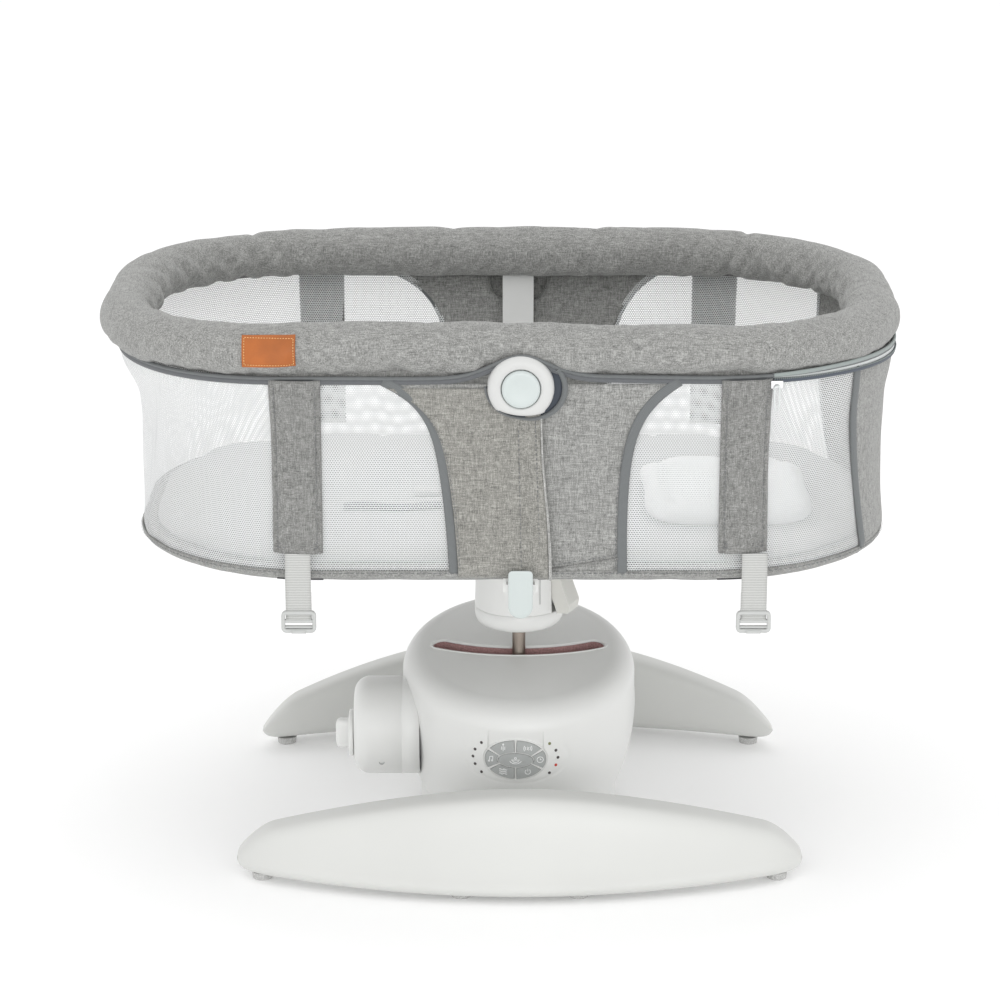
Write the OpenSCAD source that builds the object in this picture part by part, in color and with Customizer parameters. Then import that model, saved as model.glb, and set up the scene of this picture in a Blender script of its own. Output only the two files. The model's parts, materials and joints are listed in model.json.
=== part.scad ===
// Electric baby swing: a mesh-sided soft bassinet on a neck, carried by a swinging arm
// that comes up through an arc slot in the crown of a powered base.
// Origin: middle of the footprint, on the floor. +X runs to the head end, -Y is the control side.

/* [Bassinet] */
// Length over the padded rim
rim_length = 803; // [700:5:900]
// Width over the padded rim
rim_width = 508; // [480:2:520]
// Height of the top of the padded rim above the floor
rim_top = 587; // [570:1:620]
// Diameter of the padded rim
bumper_d = 54; // [50:1:58]
// Outer radius of the rim corners, seen from above
rim_corner = 200; // [180:5:210]
// Height of the underside of the soft basket
basket_floor = 336; // [334:1:340]
// Thickness of the sewn wall panels and net
wall_t = 3; // [2:0.5:4]
// Width of the padded upright straps
strap_w = 48; // [40:1:60]
// Width of the hanging webbing tails
webbing_w = 25; // [20:1:30]

/* [Hubs] */
// Diameter of the round hub on each long side
hub_d = 64; // [58:1:70]
// Diameter of the push button in each hub
hub_button_d = 37; // [30:1:42]
// Travel of the hub push buttons
hub_button_travel = 4; // [2:0.5:5]

/* [Swing drive] */
// Distance from the pivot shaft to the post
arm_r = 140; // [130:1:142]
// Swing of the arm to each side of the middle, in degrees
swing_half = 30; // [10:1:32]
// Diameter of the steel post
post_d = 14; // [12:1:16]
// Width of the arc slot in the crown
slot_w = 20; // [18:1:24]
// Diameter of the collar and the neck
neck_d = 93; // [86:1:100]

/* [Base] */
// Width of the motor housing
housing_w = 250; // [240:2:260]
// Depth of the motor housing
housing_depth = 314; // [306:2:320]
// Height of the seam between the housing shell and its crown
seam_z = 130; // [128:1:134]
// Length of each foot leg
leg_length = 576; // [540:4:600]
// Height of a leg at its middle
leg_h = 105; // [90:1:108]
// Height of a leg at its tips
leg_tip_h = 34; // [30:1:46]

/* [Hidden] */
$fn = 72;
fine = 144;

plastic = [0.90, 0.90, 0.88];
plastic_grey = [0.66, 0.69, 0.68];
heather = [0.62, 0.62, 0.61];
binding_grey = [0.46, 0.48, 0.49];
net_white = [0.93, 0.93, 0.93];
steel = [0.55, 0.52, 0.48];

// Places shared by several parts
mast_x = 20;
bumper_r = bumper_d / 2;
rim_z = rim_top - bumper_r;
rim_hx = rim_length / 2 - bumper_r;
rim_hy = rim_width / 2 - bumper_r;
rim_rc = rim_corner - bumper_r;
frame_d = 16;
wall_x = 12;
wall_hx = 380;
wall_hy = 247;
wall_rc = 190;
zip_x = 6;
zip_hx = 390;
zip_h = 10;
zip_top = rim_top - bumper_d + 2;
wall_top = zip_top - zip_h;
panel_x = 30;
strap_reach = 217;
strap_low = 361;
hub_z = 529;
hub_face = 262;
hub_depth = 24;
yoke_w = 34;
yoke_t = 7;
yoke_y = hub_face - hub_depth - yoke_t / 2;
yoke_bar_h = 12;
yoke_pad_d = neck_d - 9;
tab_y = -253;
tab_pin_y = -245;
tab_pin_z = 324;
big = 1000;

// Base
pivot_y = arm_r;
leg_y = 246;
leg_bow = 61;
leg_t = 52;
leg_round = 0.86;
leg_z = 5;
leg_steps = 40;
leg_ring = 24;
chassis_z = 8;
chassis_top = 24;
shell_t = 2.5;
housing_y = 30;
housing_stretch = housing_depth / housing_w;
crown_tilt = 7;
crown_round = 22;
crown_dome = 7;
crown_h = 43;
slot_half = swing_half + 6;
liner_top = 152;
arm_z = 108;
arm_t = 12;
shaft_d = 12;
fit_gap = 0.05;
collar_z = 207;
collar_h = 22;
neck_gap = 0.3;
neck_top = 318;
spigot_d = 60;
lever_turn = -25;
key_z = 100;
fascia_rx = 33;
fascia_rz = 23;
key_gap = 0.4;
pod_y = -8;
pod_z = 96;
pod_d = 104;
pod_end = -155;
pod_seat_r = 197;
knob_z = 92;
jack_y = 75;
jack_z = 48;

// Outline of the housing: radius at a height, widest near the middle
function housing_r(z) = housing_w / 2 - 20 * pow((z - 112) / 88, 2);
function housing_profile(inset) = [for (k = [0 : 12]) let (z = chassis_top + (seam_z - chassis_top) * k / 12)
    [housing_r(z) - inset, z]];

// A point on the ring of one leg section; u runs along the leg from -1 to 1
function leg_end(u) = sqrt(max(0.0004, 1 - pow(max(0, (abs(u) - leg_round) / (1 - leg_round)), 2)));
function leg_rise(u) = (leg_h - (leg_h - leg_tip_h) * pow(abs(u), 1.8)) * leg_end(u);
function leg_point(u, a) = let (
    h = leg_rise(u), t = leg_t * (0.35 + 0.65 * leg_end(u)) * (1 - 0.25 * u * u),
    c = cos(a), s = sin(a), p = 0.55,
    across = sign(c) * pow(abs(c), p) * t / 2, up = sign(s) * pow(abs(s), p) * 0.5 + 0.5,
    lean = 9 * (0.5 - up))
    [u * leg_length / 2, leg_y - leg_bow * u * u + across + lean, leg_z + 4 * u * u + h * up];

module leg_solid() {
    points = [for (i = [0 : leg_steps]) for (j = [0 : leg_ring - 1])
        leg_point(sin(180 * i / leg_steps - 90), 360 * j / leg_ring)];
    sides = [for (i = [0 : leg_steps - 1]) for (j = [0 : leg_ring - 1]) let (k = (j + 1) % leg_ring)
        [i * leg_ring + j, i * leg_ring + k, (i + 1) * leg_ring + k, (i + 1) * leg_ring + j]];
    near_cap = [for (j = [leg_ring - 1 : -1 : 0]) j];
    far_cap = [for (j = [0 : leg_ring - 1]) leg_steps * leg_ring + j];
    polyhedron(points, concat(sides, [near_cap, far_cap]), convexity = 4);
}

// Flat rounded rectangle seen from above, made of squares and corner circles
module plan(cx, hx, hy, r) {
    translate([cx, 0]) {
        square([2 * (hx - r), 2 * hy], center = true);
        square([2 * hx, 2 * (hy - r)], center = true);
        for (sx = [-1, 1]) for (sy = [-1, 1])
            translate([sx * (hx - r), sy * (hy - r)]) circle(r);
    }
}

module slab(cx, hx, hy, r, low, high) {
    translate([0, 0, low]) linear_extrude(high - low) plan(cx, hx, hy, r);
}

module ring(cx, hx, hy, r, out, inside, low, high) {
    difference() {
        slab(cx, hx + out, hy + out, r + out, low, high);
        slab(cx, hx - inside, hy - inside, r - inside, low - 1, high + 1);
    }
}

// A round bar along the centreline of the rim
module rim_bar(d) {
    translate([0, 0, rim_z]) {
        for (s = [-1, 1]) {
            translate([0, s * rim_hy, 0]) rotate([0, 90, 0])
                cylinder(d = d, h = 2 * (rim_hx - rim_rc), center = true);
            translate([s * rim_hx, 0, 0]) rotate([90, 0, 0])
                cylinder(d = d, h = 2 * (rim_hy - rim_rc), center = true);
        }
        for (q = [0 : 3]) {
            sx = (q == 0 || q == 3) ? 1 : -1;
            sy = q < 2 ? 1 : -1;
            translate([sx * (rim_hx - rim_rc), sy * (rim_hy - rim_rc), 0]) rotate([0, 0, 90 * q])
                rotate_extrude(angle = 90) translate([rim_rc, 0]) circle(d = d);
        }
    }
}

module wall_ring(out, inside, low, high) {
    ring(wall_x, wall_hx, wall_hy, wall_rc, out, inside, low, high);
}

// Waisted outline of the long-side panels, extruded through one side (s = -1 front, 1 rear)
module panel_cut(s) {
    outline = [[-82, basket_floor], [-88, 420], [-100, 470], [-120, 500], [-148, wall_top],
        [148, wall_top], [120, 500], [100, 470], [88, 420], [82, basket_floor]];
    translate([panel_x, s < 0 ? 0 : 300, 0]) rotate([90, 0, 0]) linear_extrude(300) polygon(outline);
}

module hub_notch(s, d) {
    translate([mast_x, s * (hub_face - hub_depth), hub_z]) rotate([-90 * s, 0, 0])
        cylinder(d = d, h = hub_depth + 30);
}

// Openings the two uprights of the yoke pass through
module yoke_slots(low, high) {
    for (s = [-1, 1]) translate([mast_x - yoke_w / 2 - 1, s * yoke_y - yoke_t / 2 - 1, low])
        cube([yoke_w + 2, yoke_t + 2, high - low]);
}

module box_x(low, high, z0, z1) {
    translate([low, -big / 2, z0]) cube([high - low, big, z1 - z0]);
}

// ---- Base ----
module front_leg() {
    color(plastic) translate([mast_x, 0, 0]) rotate([0, 0, 180]) leg_solid();
}

module rear_leg() {
    color(plastic) translate([mast_x, 0, 0]) leg_solid();
}

module foot_pads() {
    color("dimgray") for (s = [-1, 1]) for (x = [-262, -59, 59, 262])
        translate([mast_x + x, s * (leg_y - leg_bow * pow(2 * x / leg_length, 2) + 1), 0])
            cylinder(d1 = 20, d2 = 22, h = leg_z - 0.4 + 3.4 * pow(2 * x / leg_length, 2));
}

module chassis() {
    beam_w = 150;
    reach = leg_y - leg_t / 2 - 1;
    color(plastic) {
        translate([mast_x - beam_w / 2, -reach, chassis_z])
            cube([beam_w, 2 * reach, chassis_top - chassis_z]);
        // floor that closes the housing from below
        translate([mast_x, housing_y, chassis_z]) scale([1, housing_stretch, 1])
            cylinder(r = housing_r(chassis_top), h = chassis_top - chassis_z, $fn = fine);
        // bearing column with a true bore for the two bearings
        translate([mast_x, pivot_y, chassis_top]) difference() {
            cylinder(d = 32, h = 80);
            translate([0, 0, 4]) cylinder(d = 26, h = 80);
        }
        // pedestal under the drive coil
        translate([mast_x, pivot_y - 75, chassis_top]) cylinder(d = 30, h = 40);
    }
}

module chassis_screws() {
    color(steel) for (s = [-1, 1]) for (x = [-55, 0, 55])
        translate([mast_x + x, s * 196, chassis_z - 3]) cylinder(d = 9, h = 3);
}

// Solid bounded by the outside of the housing, pulled in by an amount
module housing_body(inset) {
    translate([mast_x, housing_y, 0]) scale([1, housing_stretch, 1]) rotate_extrude($fn = fine)
        polygon(concat([[0, chassis_top]], housing_profile(inset), [[0, seam_z]]));
}

module fascia_oval(grow, depth) {
    points = [for (a = [0 : 10 : 350]) [(fascia_rx + grow) * cos(a), (fascia_rz + grow) * sin(a)]];
    translate([mast_x - 4, -90, key_z]) rotate([90, 0, 0]) linear_extrude(depth) polygon(points);
}

// Wall of the housing, turned from its own outline
module housing_wall() {
    inner = housing_profile(shell_t);
    translate([mast_x, housing_y, 0]) scale([1, housing_stretch, 1]) rotate_extrude($fn = fine)
        polygon(concat(housing_profile(0), [for (k = [len(inner) - 1 : -1 : 0]) inner[k]]));
}

module housing_shell() {
    color(plastic) difference() {
        housing_wall();
        fascia_oval(0.3, 60);
        light_pipes(3.4, 20, 8);
        translate([-60, pod_y, pod_z]) rotate([0, -90, 0]) cylinder(d = 62, h = 90);
        translate([mast_x + 60, jack_y, jack_z]) rotate([0, 90, 0]) cylinder(d = 12, h = 120);
    }
}

// Domed cap with a rounded shoulder, tilted up towards the back about the seam
module crown_solid(inset) {
    r = housing_r(seam_z) - inset;
    h = crown_h - inset;
    f = crown_round - inset;
    points = concat([[0, -40], [r, -40]],
        [for (a = [0 : 15 : 75]) [r - f + f * cos(a), h - f + f * sin(a)]],
        [for (k = [5 : -1 : 0]) [(r - f) * k / 5, h + crown_dome * (1 - pow(k / 5, 2))]]);
    // turned a quarter at a time, which keeps each stretched surface simple
    translate([mast_x, housing_y, seam_z]) rotate([crown_tilt, 0, 0]) scale([1, housing_stretch, 1])
        for (q = [0 : 3]) rotate([0, 0, 90 * q]) rotate_extrude(angle = 90, $fn = fine) polygon(points);
}

module arc_slot(width, half, low, high) {
    translate([mast_x, pivot_y, low]) {
        rotate([0, 0, 270 - half]) rotate_extrude(angle = 2 * half)
            translate([arm_r - width / 2, 0]) square([width, high - low]);
        for (s = [-1, 1]) rotate([0, 0, 270 + s * half]) translate([arm_r, 0, 0])
            cylinder(d = width, h = high - low);
    }
}

module housing_crown() {
    color(plastic) difference() {
        intersection() {
            crown_solid(0);
            translate([-big / 2, -big / 2, seam_z + 0.2]) cube([big, big, 100]);
        }
        crown_solid(shell_t);
        arc_slot(slot_w, slot_half, 100, 260);
    }
}

module slot_liner() {
    color([0.55, 0.42, 0.40]) difference() {
        arc_slot(slot_w + 14, slot_half, liner_top - 2, liner_top);
        arc_slot(post_d + 2, swing_half + 1, liner_top - 3, liner_top + 1);
    }
}

// ---- Controls ----
function oval(rx, rz, a) = [rx * cos(a), rz * sin(a)];

// Outline of one outer key between two angles, a band of the oval
module key_outline(a0, a1) {
    points = concat([for (k = [0 : 6]) oval(fascia_rx - 1.5, fascia_rz - 1.5, a0 + (a1 - a0) * k / 6)],
        [for (k = [6 : -1 : 0]) oval(19.5, 9, a0 + (a1 - a0) * k / 6)]);
    polygon(points);
}

// Keys and fascia take their curved face from the housing wall itself
module wall_plug(depth, shift) {
    intersection() {
        translate([0, -shift, 0]) housing_body(0);
        translate([mast_x - 4, -90, key_z]) rotate([90, 0, 0]) linear_extrude(60) children();
        translate([mast_x - 60, housing_y - housing_depth / 2 - 5, 60]) cube([120, depth + 5, 80]);
    }
}

key_angles = [[34, 87], [93, 146], [154, 206], [214, 267], [273, 326], [-26, 26]];

module outer_key(i) {
    color(plastic_grey) wall_plug(10, 0.6) key_outline(key_angles[i][0], key_angles[i][1]);
}

module key_music() { outer_key(2); }
module key_vibration() { outer_key(1); }
module key_swing() { outer_key(0); }
module key_timer() { outer_key(5); }
module key_power() { outer_key(4); }
module key_waves() { outer_key(3); }
module key_speed() {
    color(plastic_grey) wall_plug(10, 0.6) polygon([for (a = [0 : 12 : 348]) oval(18, 7.5, a)]);
}

module control_fascia() {
    color(plastic) difference() {
        wall_plug(9, 0) polygon([for (a = [0 : 10 : 350]) oval(fascia_rx, fascia_rz, a)]);
        for (k = key_angles) translate([mast_x - 4, -80, key_z]) rotate([90, 0, 0]) linear_extrude(80)
            polygon(concat(
                [for (j = [0 : 6]) oval(fascia_rx - 1.5 + key_gap, fascia_rz - 1.5 + key_gap,
                    k[0] - 1.2 + (k[1] - k[0] + 2.4) * j / 6)],
                [for (j = [6 : -1 : 0]) oval(19.5 - key_gap, 9 - key_gap,
                    k[0] - 1.2 + (k[1] - k[0] + 2.4) * j / 6)]));
        translate([mast_x - 4, -80, key_z]) rotate([90, 0, 0]) linear_extrude(80)
            polygon([for (a = [0 : 12 : 348]) oval(18 + key_gap, 7.5 + key_gap, a)]);
    }
}

// Two bowed columns of light pipes that end flush with the housing wall
module light_pipes(d, sink, stop) {
    for (s = [-1, 1]) for (k = [-2 : 2]) {
        x = s * (44 - 2.2 * k * k) - 4;
        z = key_z + 8.3 * k;
        face = housing_stretch * sqrt(pow(housing_r(z), 2) - x * x) - housing_y + stop;
        translate([mast_x + x, -face + sink, z]) rotate([90, 0, 0]) cylinder(d = d, h = sink);
    }
}

module indicator_lights() {
    color("olive") light_pipes(3, 12, 0);
}

module key_mat() {
    color("lightgray") translate([mast_x - 34, -112.5, key_z - 23]) cube([60, 2, 46]);
}

module circuit_board() {
    color("darkgreen") difference() {
        translate([mast_x - 54, -92, key_z - 36]) cube([100, 1.6, 72]);
        for (x = [-49, 41]) for (z = [-31, 31]) translate([mast_x + x, -80, key_z + z]) rotate([90, 0, 0])
            cylinder(d = 3.2, h = 20);
    }
}

module speaker() {
    color("dimgray") translate([mast_x + 40, -30, chassis_top]) {
        difference() {
            cylinder(d = 57, h = 18);
            translate([0, 0, 12]) cylinder(d1 = 20, d2 = 50, h = 6.1);
        }
    }
}

module drive_coil() {
    color("peru") translate([mast_x, pivot_y - 75, chassis_top + 40]) difference() {
        cylinder(d = 54, h = 28);
        translate([0, 0, -1]) cylinder(d = 18, h = 30);
    }
}

module pivot_bearings() {
    color("silver") for (z = [chassis_top + 4, chassis_top + 70])
        translate([mast_x, pivot_y, z]) difference() {
            cylinder(d = 26, h = 10);
            translate([0, 0, -1]) cylinder(d = shaft_d + 2 * fit_gap, h = 12);
        }
}

module pod_drum(d, h, fillet) {
    rotate_extrude() polygon(concat([[0, 0], [d / 2, 0]],
        [for (a = [0 : 15 : 90]) [d / 2 - fillet + fillet * cos(a), h - fillet + fillet * sin(a)]],
        [[0, h]]));
}

module knob_pod() {
    color(plastic) difference() {
        translate([-70, pod_y, pod_z]) rotate([0, -90, 0]) pod_drum(pod_d, -70 - pod_end, 16);
        translate([-66, pod_y, pod_z]) rotate([0, -90, 0])
            cylinder(d = pod_d - 12, h = -66 - pod_end - 4);
        // upright cylinder that just clears the bulge of the housing
        translate([mast_x - housing_w / 2 + pod_seat_r, housing_y, 0])
            cylinder(r = pod_seat_r + 0.3, h = 300, $fn = fine);
        translate([-100, pod_y - 14, knob_z]) rotate([0, -90, 0]) cylinder(d = 10, h = 80);
    }
}

module selector_knob() {
    color(plastic) translate([pod_end, pod_y - 14, knob_z]) rotate([0, -90, 0]) {
        translate([0, 0, -12]) cylinder(d = 9.9, h = 13);
        translate([0, 0, 0.4]) cylinder(d = 50, h = 5);
        difference() {
            translate([0, 0, 5.4]) cylinder(d = 32, h = 14);
            for (s = [-1, 1]) translate([s * 17 - 10, -20, 9]) cube([20, 40, 20]);
        }
    }
}

module power_jack() {
    face = sqrt(pow(housing_r(jack_z), 2) - pow((jack_y - housing_y) / housing_stretch, 2));
    color("black") translate([mast_x + face - 12, jack_y, jack_z]) rotate([0, 90, 0])
        difference() {
            cylinder(d = 11.6, h = 12);
            translate([0, 0, 2]) cylinder(d = 5.6, h = 20);
        }
}

// ---- Swinging arm ----
module pivot_shaft() {
    low = chassis_top + 4.5;
    color("silver") translate([mast_x, pivot_y, low]) cylinder(d = shaft_d, h = arm_z - low);
}

module swing_arm() {
    color(steel) translate([mast_x, 0, arm_z]) {
        translate([-13, 0, 0]) cube([26, pivot_y, arm_t]);
        translate([0, pivot_y, 0]) cylinder(d = 34, h = arm_t);
        cylinder(d = 30, h = arm_t);
    }
}

module drive_magnet() {
    color("gray") translate([mast_x, pivot_y - 75, arm_z - 12]) cylinder(d = 40, h = 12);
}

module post() {
    color(steel) translate([mast_x, 0, arm_z + arm_t]) cylinder(d = post_d, h = collar_z - arm_z - arm_t);
}

module collar() {
    r = neck_d / 2;
    color(plastic) translate([mast_x, 0, collar_z]) {
        rotate_extrude() polygon([[0, 0], [r - 9, 0], [r - 4, 1.5], [r - 1, 5], [r, 10], [r, collar_h],
            [0, collar_h]]);
        translate([0, 0, collar_h]) cylinder(d = spigot_d, h = 54);
    }
}

// ---- Neck and latch ----
module lever_place() {
    translate([mast_x, 0, 0]) rotate([0, 0, lever_turn]) children();
}

module neck_shell() {
    r = neck_d / 2;
    low = collar_z + collar_h + neck_gap;
    color(plastic) difference() {
        translate([mast_x, 0, low]) cylinder(r1 = r, r2 = r - 2, h = neck_top - low);
        translate([mast_x, 0, low - 1]) cylinder(d = spigot_d + 0.16, h = 61);
        // pocket for the latch lever
        lever_place() translate([32, -14, 226]) cube([40, 28, 56]);
    }
    color(plastic) lever_place() translate([38, 15, 270]) rotate([90, 0, 0]) cylinder(d = 4, h = 30);
}

// Rounded tongue that hangs in front of the yoke and turns on its pin
module release_tab() {
    color([0.88, 0.92, 0.92]) difference() {
        union() {
            translate([mast_x - 12, tab_y - 6, 309]) cube([24, 6, 37]);
            translate([mast_x, tab_y, 309]) rotate([90, 0, 0]) cylinder(d = 24, h = 6);
            translate([mast_x - 9, tab_y - 1, tab_pin_z - 5]) cube([18, tab_pin_y - tab_y + 5, 10]);
        }
        translate([mast_x - 20, tab_pin_y, tab_pin_z]) rotate([0, 90, 0]) cylinder(d = 4.1, h = 40);
    }
}

module latch_lever() {
    outline = [[34, 266], [34, 274], [42, 278], [50, 275], [64, 240], [62, 230], [50, 229], [46, 240]];
    color([0.88, 0.88, 0.85]) lever_place() difference() {
        translate([0, 13, 0]) rotate([90, 0, 0]) linear_extrude(26) polygon(outline);
        translate([38, 20, 270]) rotate([90, 0, 0]) cylinder(d = 4.1, h = 40);
    }
}

// ---- Frame of the bassinet ----
module yoke() {
    reach = hub_face - hub_depth;
    color(plastic) {
        translate([mast_x - yoke_w / 2, -reach, neck_top]) cube([yoke_w, 2 * reach, yoke_bar_h]);
        // round pad on top of the neck
        translate([mast_x, 0, neck_top]) cylinder(d = yoke_pad_d, h = yoke_bar_h);
        // ears and pin of the release tab
        for (s = [-1, 1]) translate([mast_x + s * 12 - 2, tab_pin_y - 4, tab_pin_z - 5])
            cube([4, 4 - reach - tab_pin_y + 0.5, 10]);
        translate([mast_x - 13, tab_pin_y, tab_pin_z]) rotate([0, 90, 0]) cylinder(d = 4, h = 26);
        for (s = [-1, 1]) translate([mast_x - yoke_w / 2, s * yoke_y - yoke_t / 2, neck_top + yoke_bar_h])
            cube([yoke_w, yoke_t, hub_z + 12 - neck_top - yoke_bar_h]);
    }
}

module hub_body(s) {
    recess = hub_button_travel + 4;
    color(plastic) translate([mast_x, s * hub_face, hub_z]) rotate([90 * s, 0, 0]) difference() {
        rotate_extrude() polygon([[0, 0], [hub_d / 2 - 4, 0], [hub_d / 2 - 1, 1.5], [hub_d / 2, 5],
            [hub_d / 2, hub_depth - 0.2], [0, hub_depth - 0.2]]);
        translate([0, 0, -1]) cylinder(d = hub_button_d + 0.6, h = recess + 1);
    }
}

module hub_button(s) {
    color([0.93, 0.93, 0.92]) translate([mast_x, s * (hub_face + 2.5), hub_z]) rotate([90 * s, 0, 0])
        rotate_extrude() polygon([[0, 0], [hub_button_d / 2 - 3, 0.3], [hub_button_d / 2, 3],
            [hub_button_d / 2, 5.5], [0, 5.5]]);
}

module front_hub() { hub_body(-1); }
module rear_hub() { hub_body(1); }
module front_hub_button() { hub_button(-1); }
module rear_hub_button() { hub_button(1); }

module rim_frame() {
    color(steel) rim_bar(frame_d);
}

module rim_bumper() {
    color(heather) difference() {
        rim_bar(bumper_d);
        rim_bar(frame_d + 0.6);
        for (s = [-1, 1]) hub_notch(s, hub_d + 4);
        yoke_slots(500, hub_z + 14);
    }
}

module zip_band() {
    color(binding_grey) difference() {
        ring(zip_x, zip_hx, wall_hy, wall_rc, 3, 5, wall_top, zip_top);
        rim_bar(bumper_d + 0.4);
        for (s = [-1, 1]) hub_notch(s, hub_d + 4);
        yoke_slots(500, hub_z + 14);
    }
}

zip_slide_x = 266;
function zip_front_y(x) = -(wall_hy - wall_rc + sqrt(pow(wall_rc + 3, 2)
    - pow(max(0, x - zip_x - zip_hx + wall_rc), 2)));

module zip_slider() {
    color("silver") translate([zip_slide_x - 6, zip_front_y(zip_slide_x) - 5.4, wall_top + 0.5])
        cube([12, 3, 8]);
}

module zip_pull() {
    color("white") translate([zip_slide_x - 2.5, zip_front_y(zip_slide_x) - 8.7, wall_top - 18])
        cube([5, 1.8, 24]);
}

module leather_tag() {
    color([0.78, 0.45, 0.16]) intersection() {
        difference() {
            rim_bar(bumper_d + 3);
            rim_bar(bumper_d + 0.2);
        }
        translate([-247, -big / 2, 549]) cube([52, big / 2 - 238, 30]);
    }
}

// ---- Sewn basket ----
module mesh_foot_end() {
    color(net_white) difference() {
        wall_ring(0, wall_t, basket_floor, wall_top);
        panel_cut(-1);
        panel_cut(1);
        box_x(panel_x, big, 300, 600);
    }
}

module mesh_head(s) {
    color(net_white) difference() {
        wall_ring(0, wall_t, basket_floor, wall_top);
        panel_cut(s);
        box_x(-big, panel_x, 300, 600);
        box_x(347, big, 300, 600);
        translate([-big, s < 0 ? 0 : -big, 300]) cube([2 * big, big, 300]);
    }
}

module mesh_head_front() { mesh_head(-1); }
module mesh_head_rear() { mesh_head(1); }

module head_end_panel() {
    color(heather) difference() {
        wall_ring(0, wall_t, basket_floor, wall_top);
        box_x(-big, 347, 300, 600);
    }
}

module side_panel(s) {
    color(heather) intersection() {
        wall_ring(0, wall_t, basket_floor, wall_top);
        difference() {
            panel_cut(s);
            hub_notch(s, hub_d + 4);
        }
    }
}

module front_panel() { side_panel(-1); }
module rear_panel() { side_panel(1); }

module strap_sleeves() {
    color(heather) difference() {
        wall_ring(3.4, -0.2, strap_low, wall_top - 0.2);
        box_x(-big, mast_x - strap_reach - strap_w / 2, 300, 600);
        box_x(mast_x - strap_reach + strap_w / 2, mast_x + strap_reach - strap_w / 2, 300, 600);
        box_x(mast_x + strap_reach + strap_w / 2, big, 300, 600);
    }
}

module basket_bottom() {
    color(heather) difference() {
        slab(wall_x, wall_hx, wall_hy, wall_rc, basket_floor - 4, basket_floor);
        yoke_slots(basket_floor - 10, basket_floor + 10);
    }
}

module base_board() {
    color("tan") slab(wall_x, wall_hx - 6, wall_hy - 18, wall_rc - 6, basket_floor + 0.3, basket_floor + 5);
}

module mattress() {
    color([0.75, 0.75, 0.74]) slab(wall_x, wall_hx - 8, wall_hy - 18, wall_rc - 8, basket_floor + 5.3,
        basket_floor + 22);
}

module head_pillow() {
    color("white") translate([0, -50, 0]) slab(232, 92, 110, 42, basket_floor + 22.3, basket_floor + 46);
}

tail_y = -(wall_hy + 2.4);
tail_shift = 11;

module tail_webbing(x) {
    color("white") translate([mast_x + x - webbing_w / 2, tail_y - 0.8, 303])
        cube([webbing_w, 1.6, strap_low - 2 - 303]);
}

module tail_buckle(x) {
    color([0.85, 0.85, 0.84]) translate([mast_x + x, tail_y, 281]) difference() {
        translate([-17, -3, 0]) cube([34, 6, 22]);
        translate([-12, -4, 5]) cube([24, 8, 5]);
        translate([-12, -4, 13]) cube([24, 8, 4]);
    }
}

module webbing_left() { tail_webbing(-strap_reach); }
module buckle_left() { tail_buckle(-strap_reach); }
module webbing_right() { tail_webbing(strap_reach + tail_shift); }
module buckle_right() { tail_buckle(strap_reach + tail_shift); }

front_leg();
rear_leg();
foot_pads();
chassis();
chassis_screws();
housing_shell();
housing_crown();
slot_liner();
control_fascia();
indicator_lights();
key_mat();
circuit_board();
speaker();
drive_coil();
pivot_bearings();
knob_pod();
power_jack();
key_swing();
key_music();
key_vibration();
key_timer();
key_power();
key_waves();
key_speed();
selector_knob();
pivot_shaft();
swing_arm();
drive_magnet();
post();
collar();
neck_shell();
release_tab();
latch_lever();
yoke();
front_hub();
rear_hub();
front_hub_button();
rear_hub_button();
rim_frame();
rim_bumper();
zip_band();
zip_slider();
zip_pull();
leather_tag();
mesh_foot_end();
mesh_head_front();
mesh_head_rear();
head_end_panel();
front_panel();
rear_panel();
strap_sleeves();
basket_bottom();
base_board();
mattress();
head_pillow();
webbing_left();
buckle_left();
webbing_right();
buckle_right();
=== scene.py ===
"""Looks of the baby swing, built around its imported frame."""
import json
import math

import bmesh
import bpy
import numpy as np
from mathutils import Matrix, Vector, noise

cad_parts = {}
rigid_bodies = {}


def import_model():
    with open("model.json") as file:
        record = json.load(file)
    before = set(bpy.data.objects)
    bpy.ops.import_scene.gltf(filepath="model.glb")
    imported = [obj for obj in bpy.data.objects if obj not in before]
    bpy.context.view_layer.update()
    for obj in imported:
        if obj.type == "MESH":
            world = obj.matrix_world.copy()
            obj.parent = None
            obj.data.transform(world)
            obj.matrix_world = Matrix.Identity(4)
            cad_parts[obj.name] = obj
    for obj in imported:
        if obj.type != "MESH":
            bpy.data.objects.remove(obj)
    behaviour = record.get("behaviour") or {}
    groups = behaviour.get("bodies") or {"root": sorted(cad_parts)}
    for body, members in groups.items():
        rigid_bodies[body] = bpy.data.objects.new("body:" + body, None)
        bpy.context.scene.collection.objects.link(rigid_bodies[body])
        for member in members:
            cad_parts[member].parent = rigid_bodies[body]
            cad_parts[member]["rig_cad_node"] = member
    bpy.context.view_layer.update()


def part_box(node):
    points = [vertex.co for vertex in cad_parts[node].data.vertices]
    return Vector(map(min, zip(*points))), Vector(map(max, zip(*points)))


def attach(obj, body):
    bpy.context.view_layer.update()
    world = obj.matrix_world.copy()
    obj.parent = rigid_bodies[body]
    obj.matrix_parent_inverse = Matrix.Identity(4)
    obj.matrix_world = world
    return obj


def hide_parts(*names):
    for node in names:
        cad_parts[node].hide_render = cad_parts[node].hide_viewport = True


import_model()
MM = 0.001
FLIP = [1, -1, 1]                            # turns a place on the front into its mirror on the rear


# ---------------------------------------------------------------- places read from the frame
def middle(node):
    low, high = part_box(node)
    return (low + high) / 2


def span(node):
    low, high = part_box(node)
    return high - low


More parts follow.
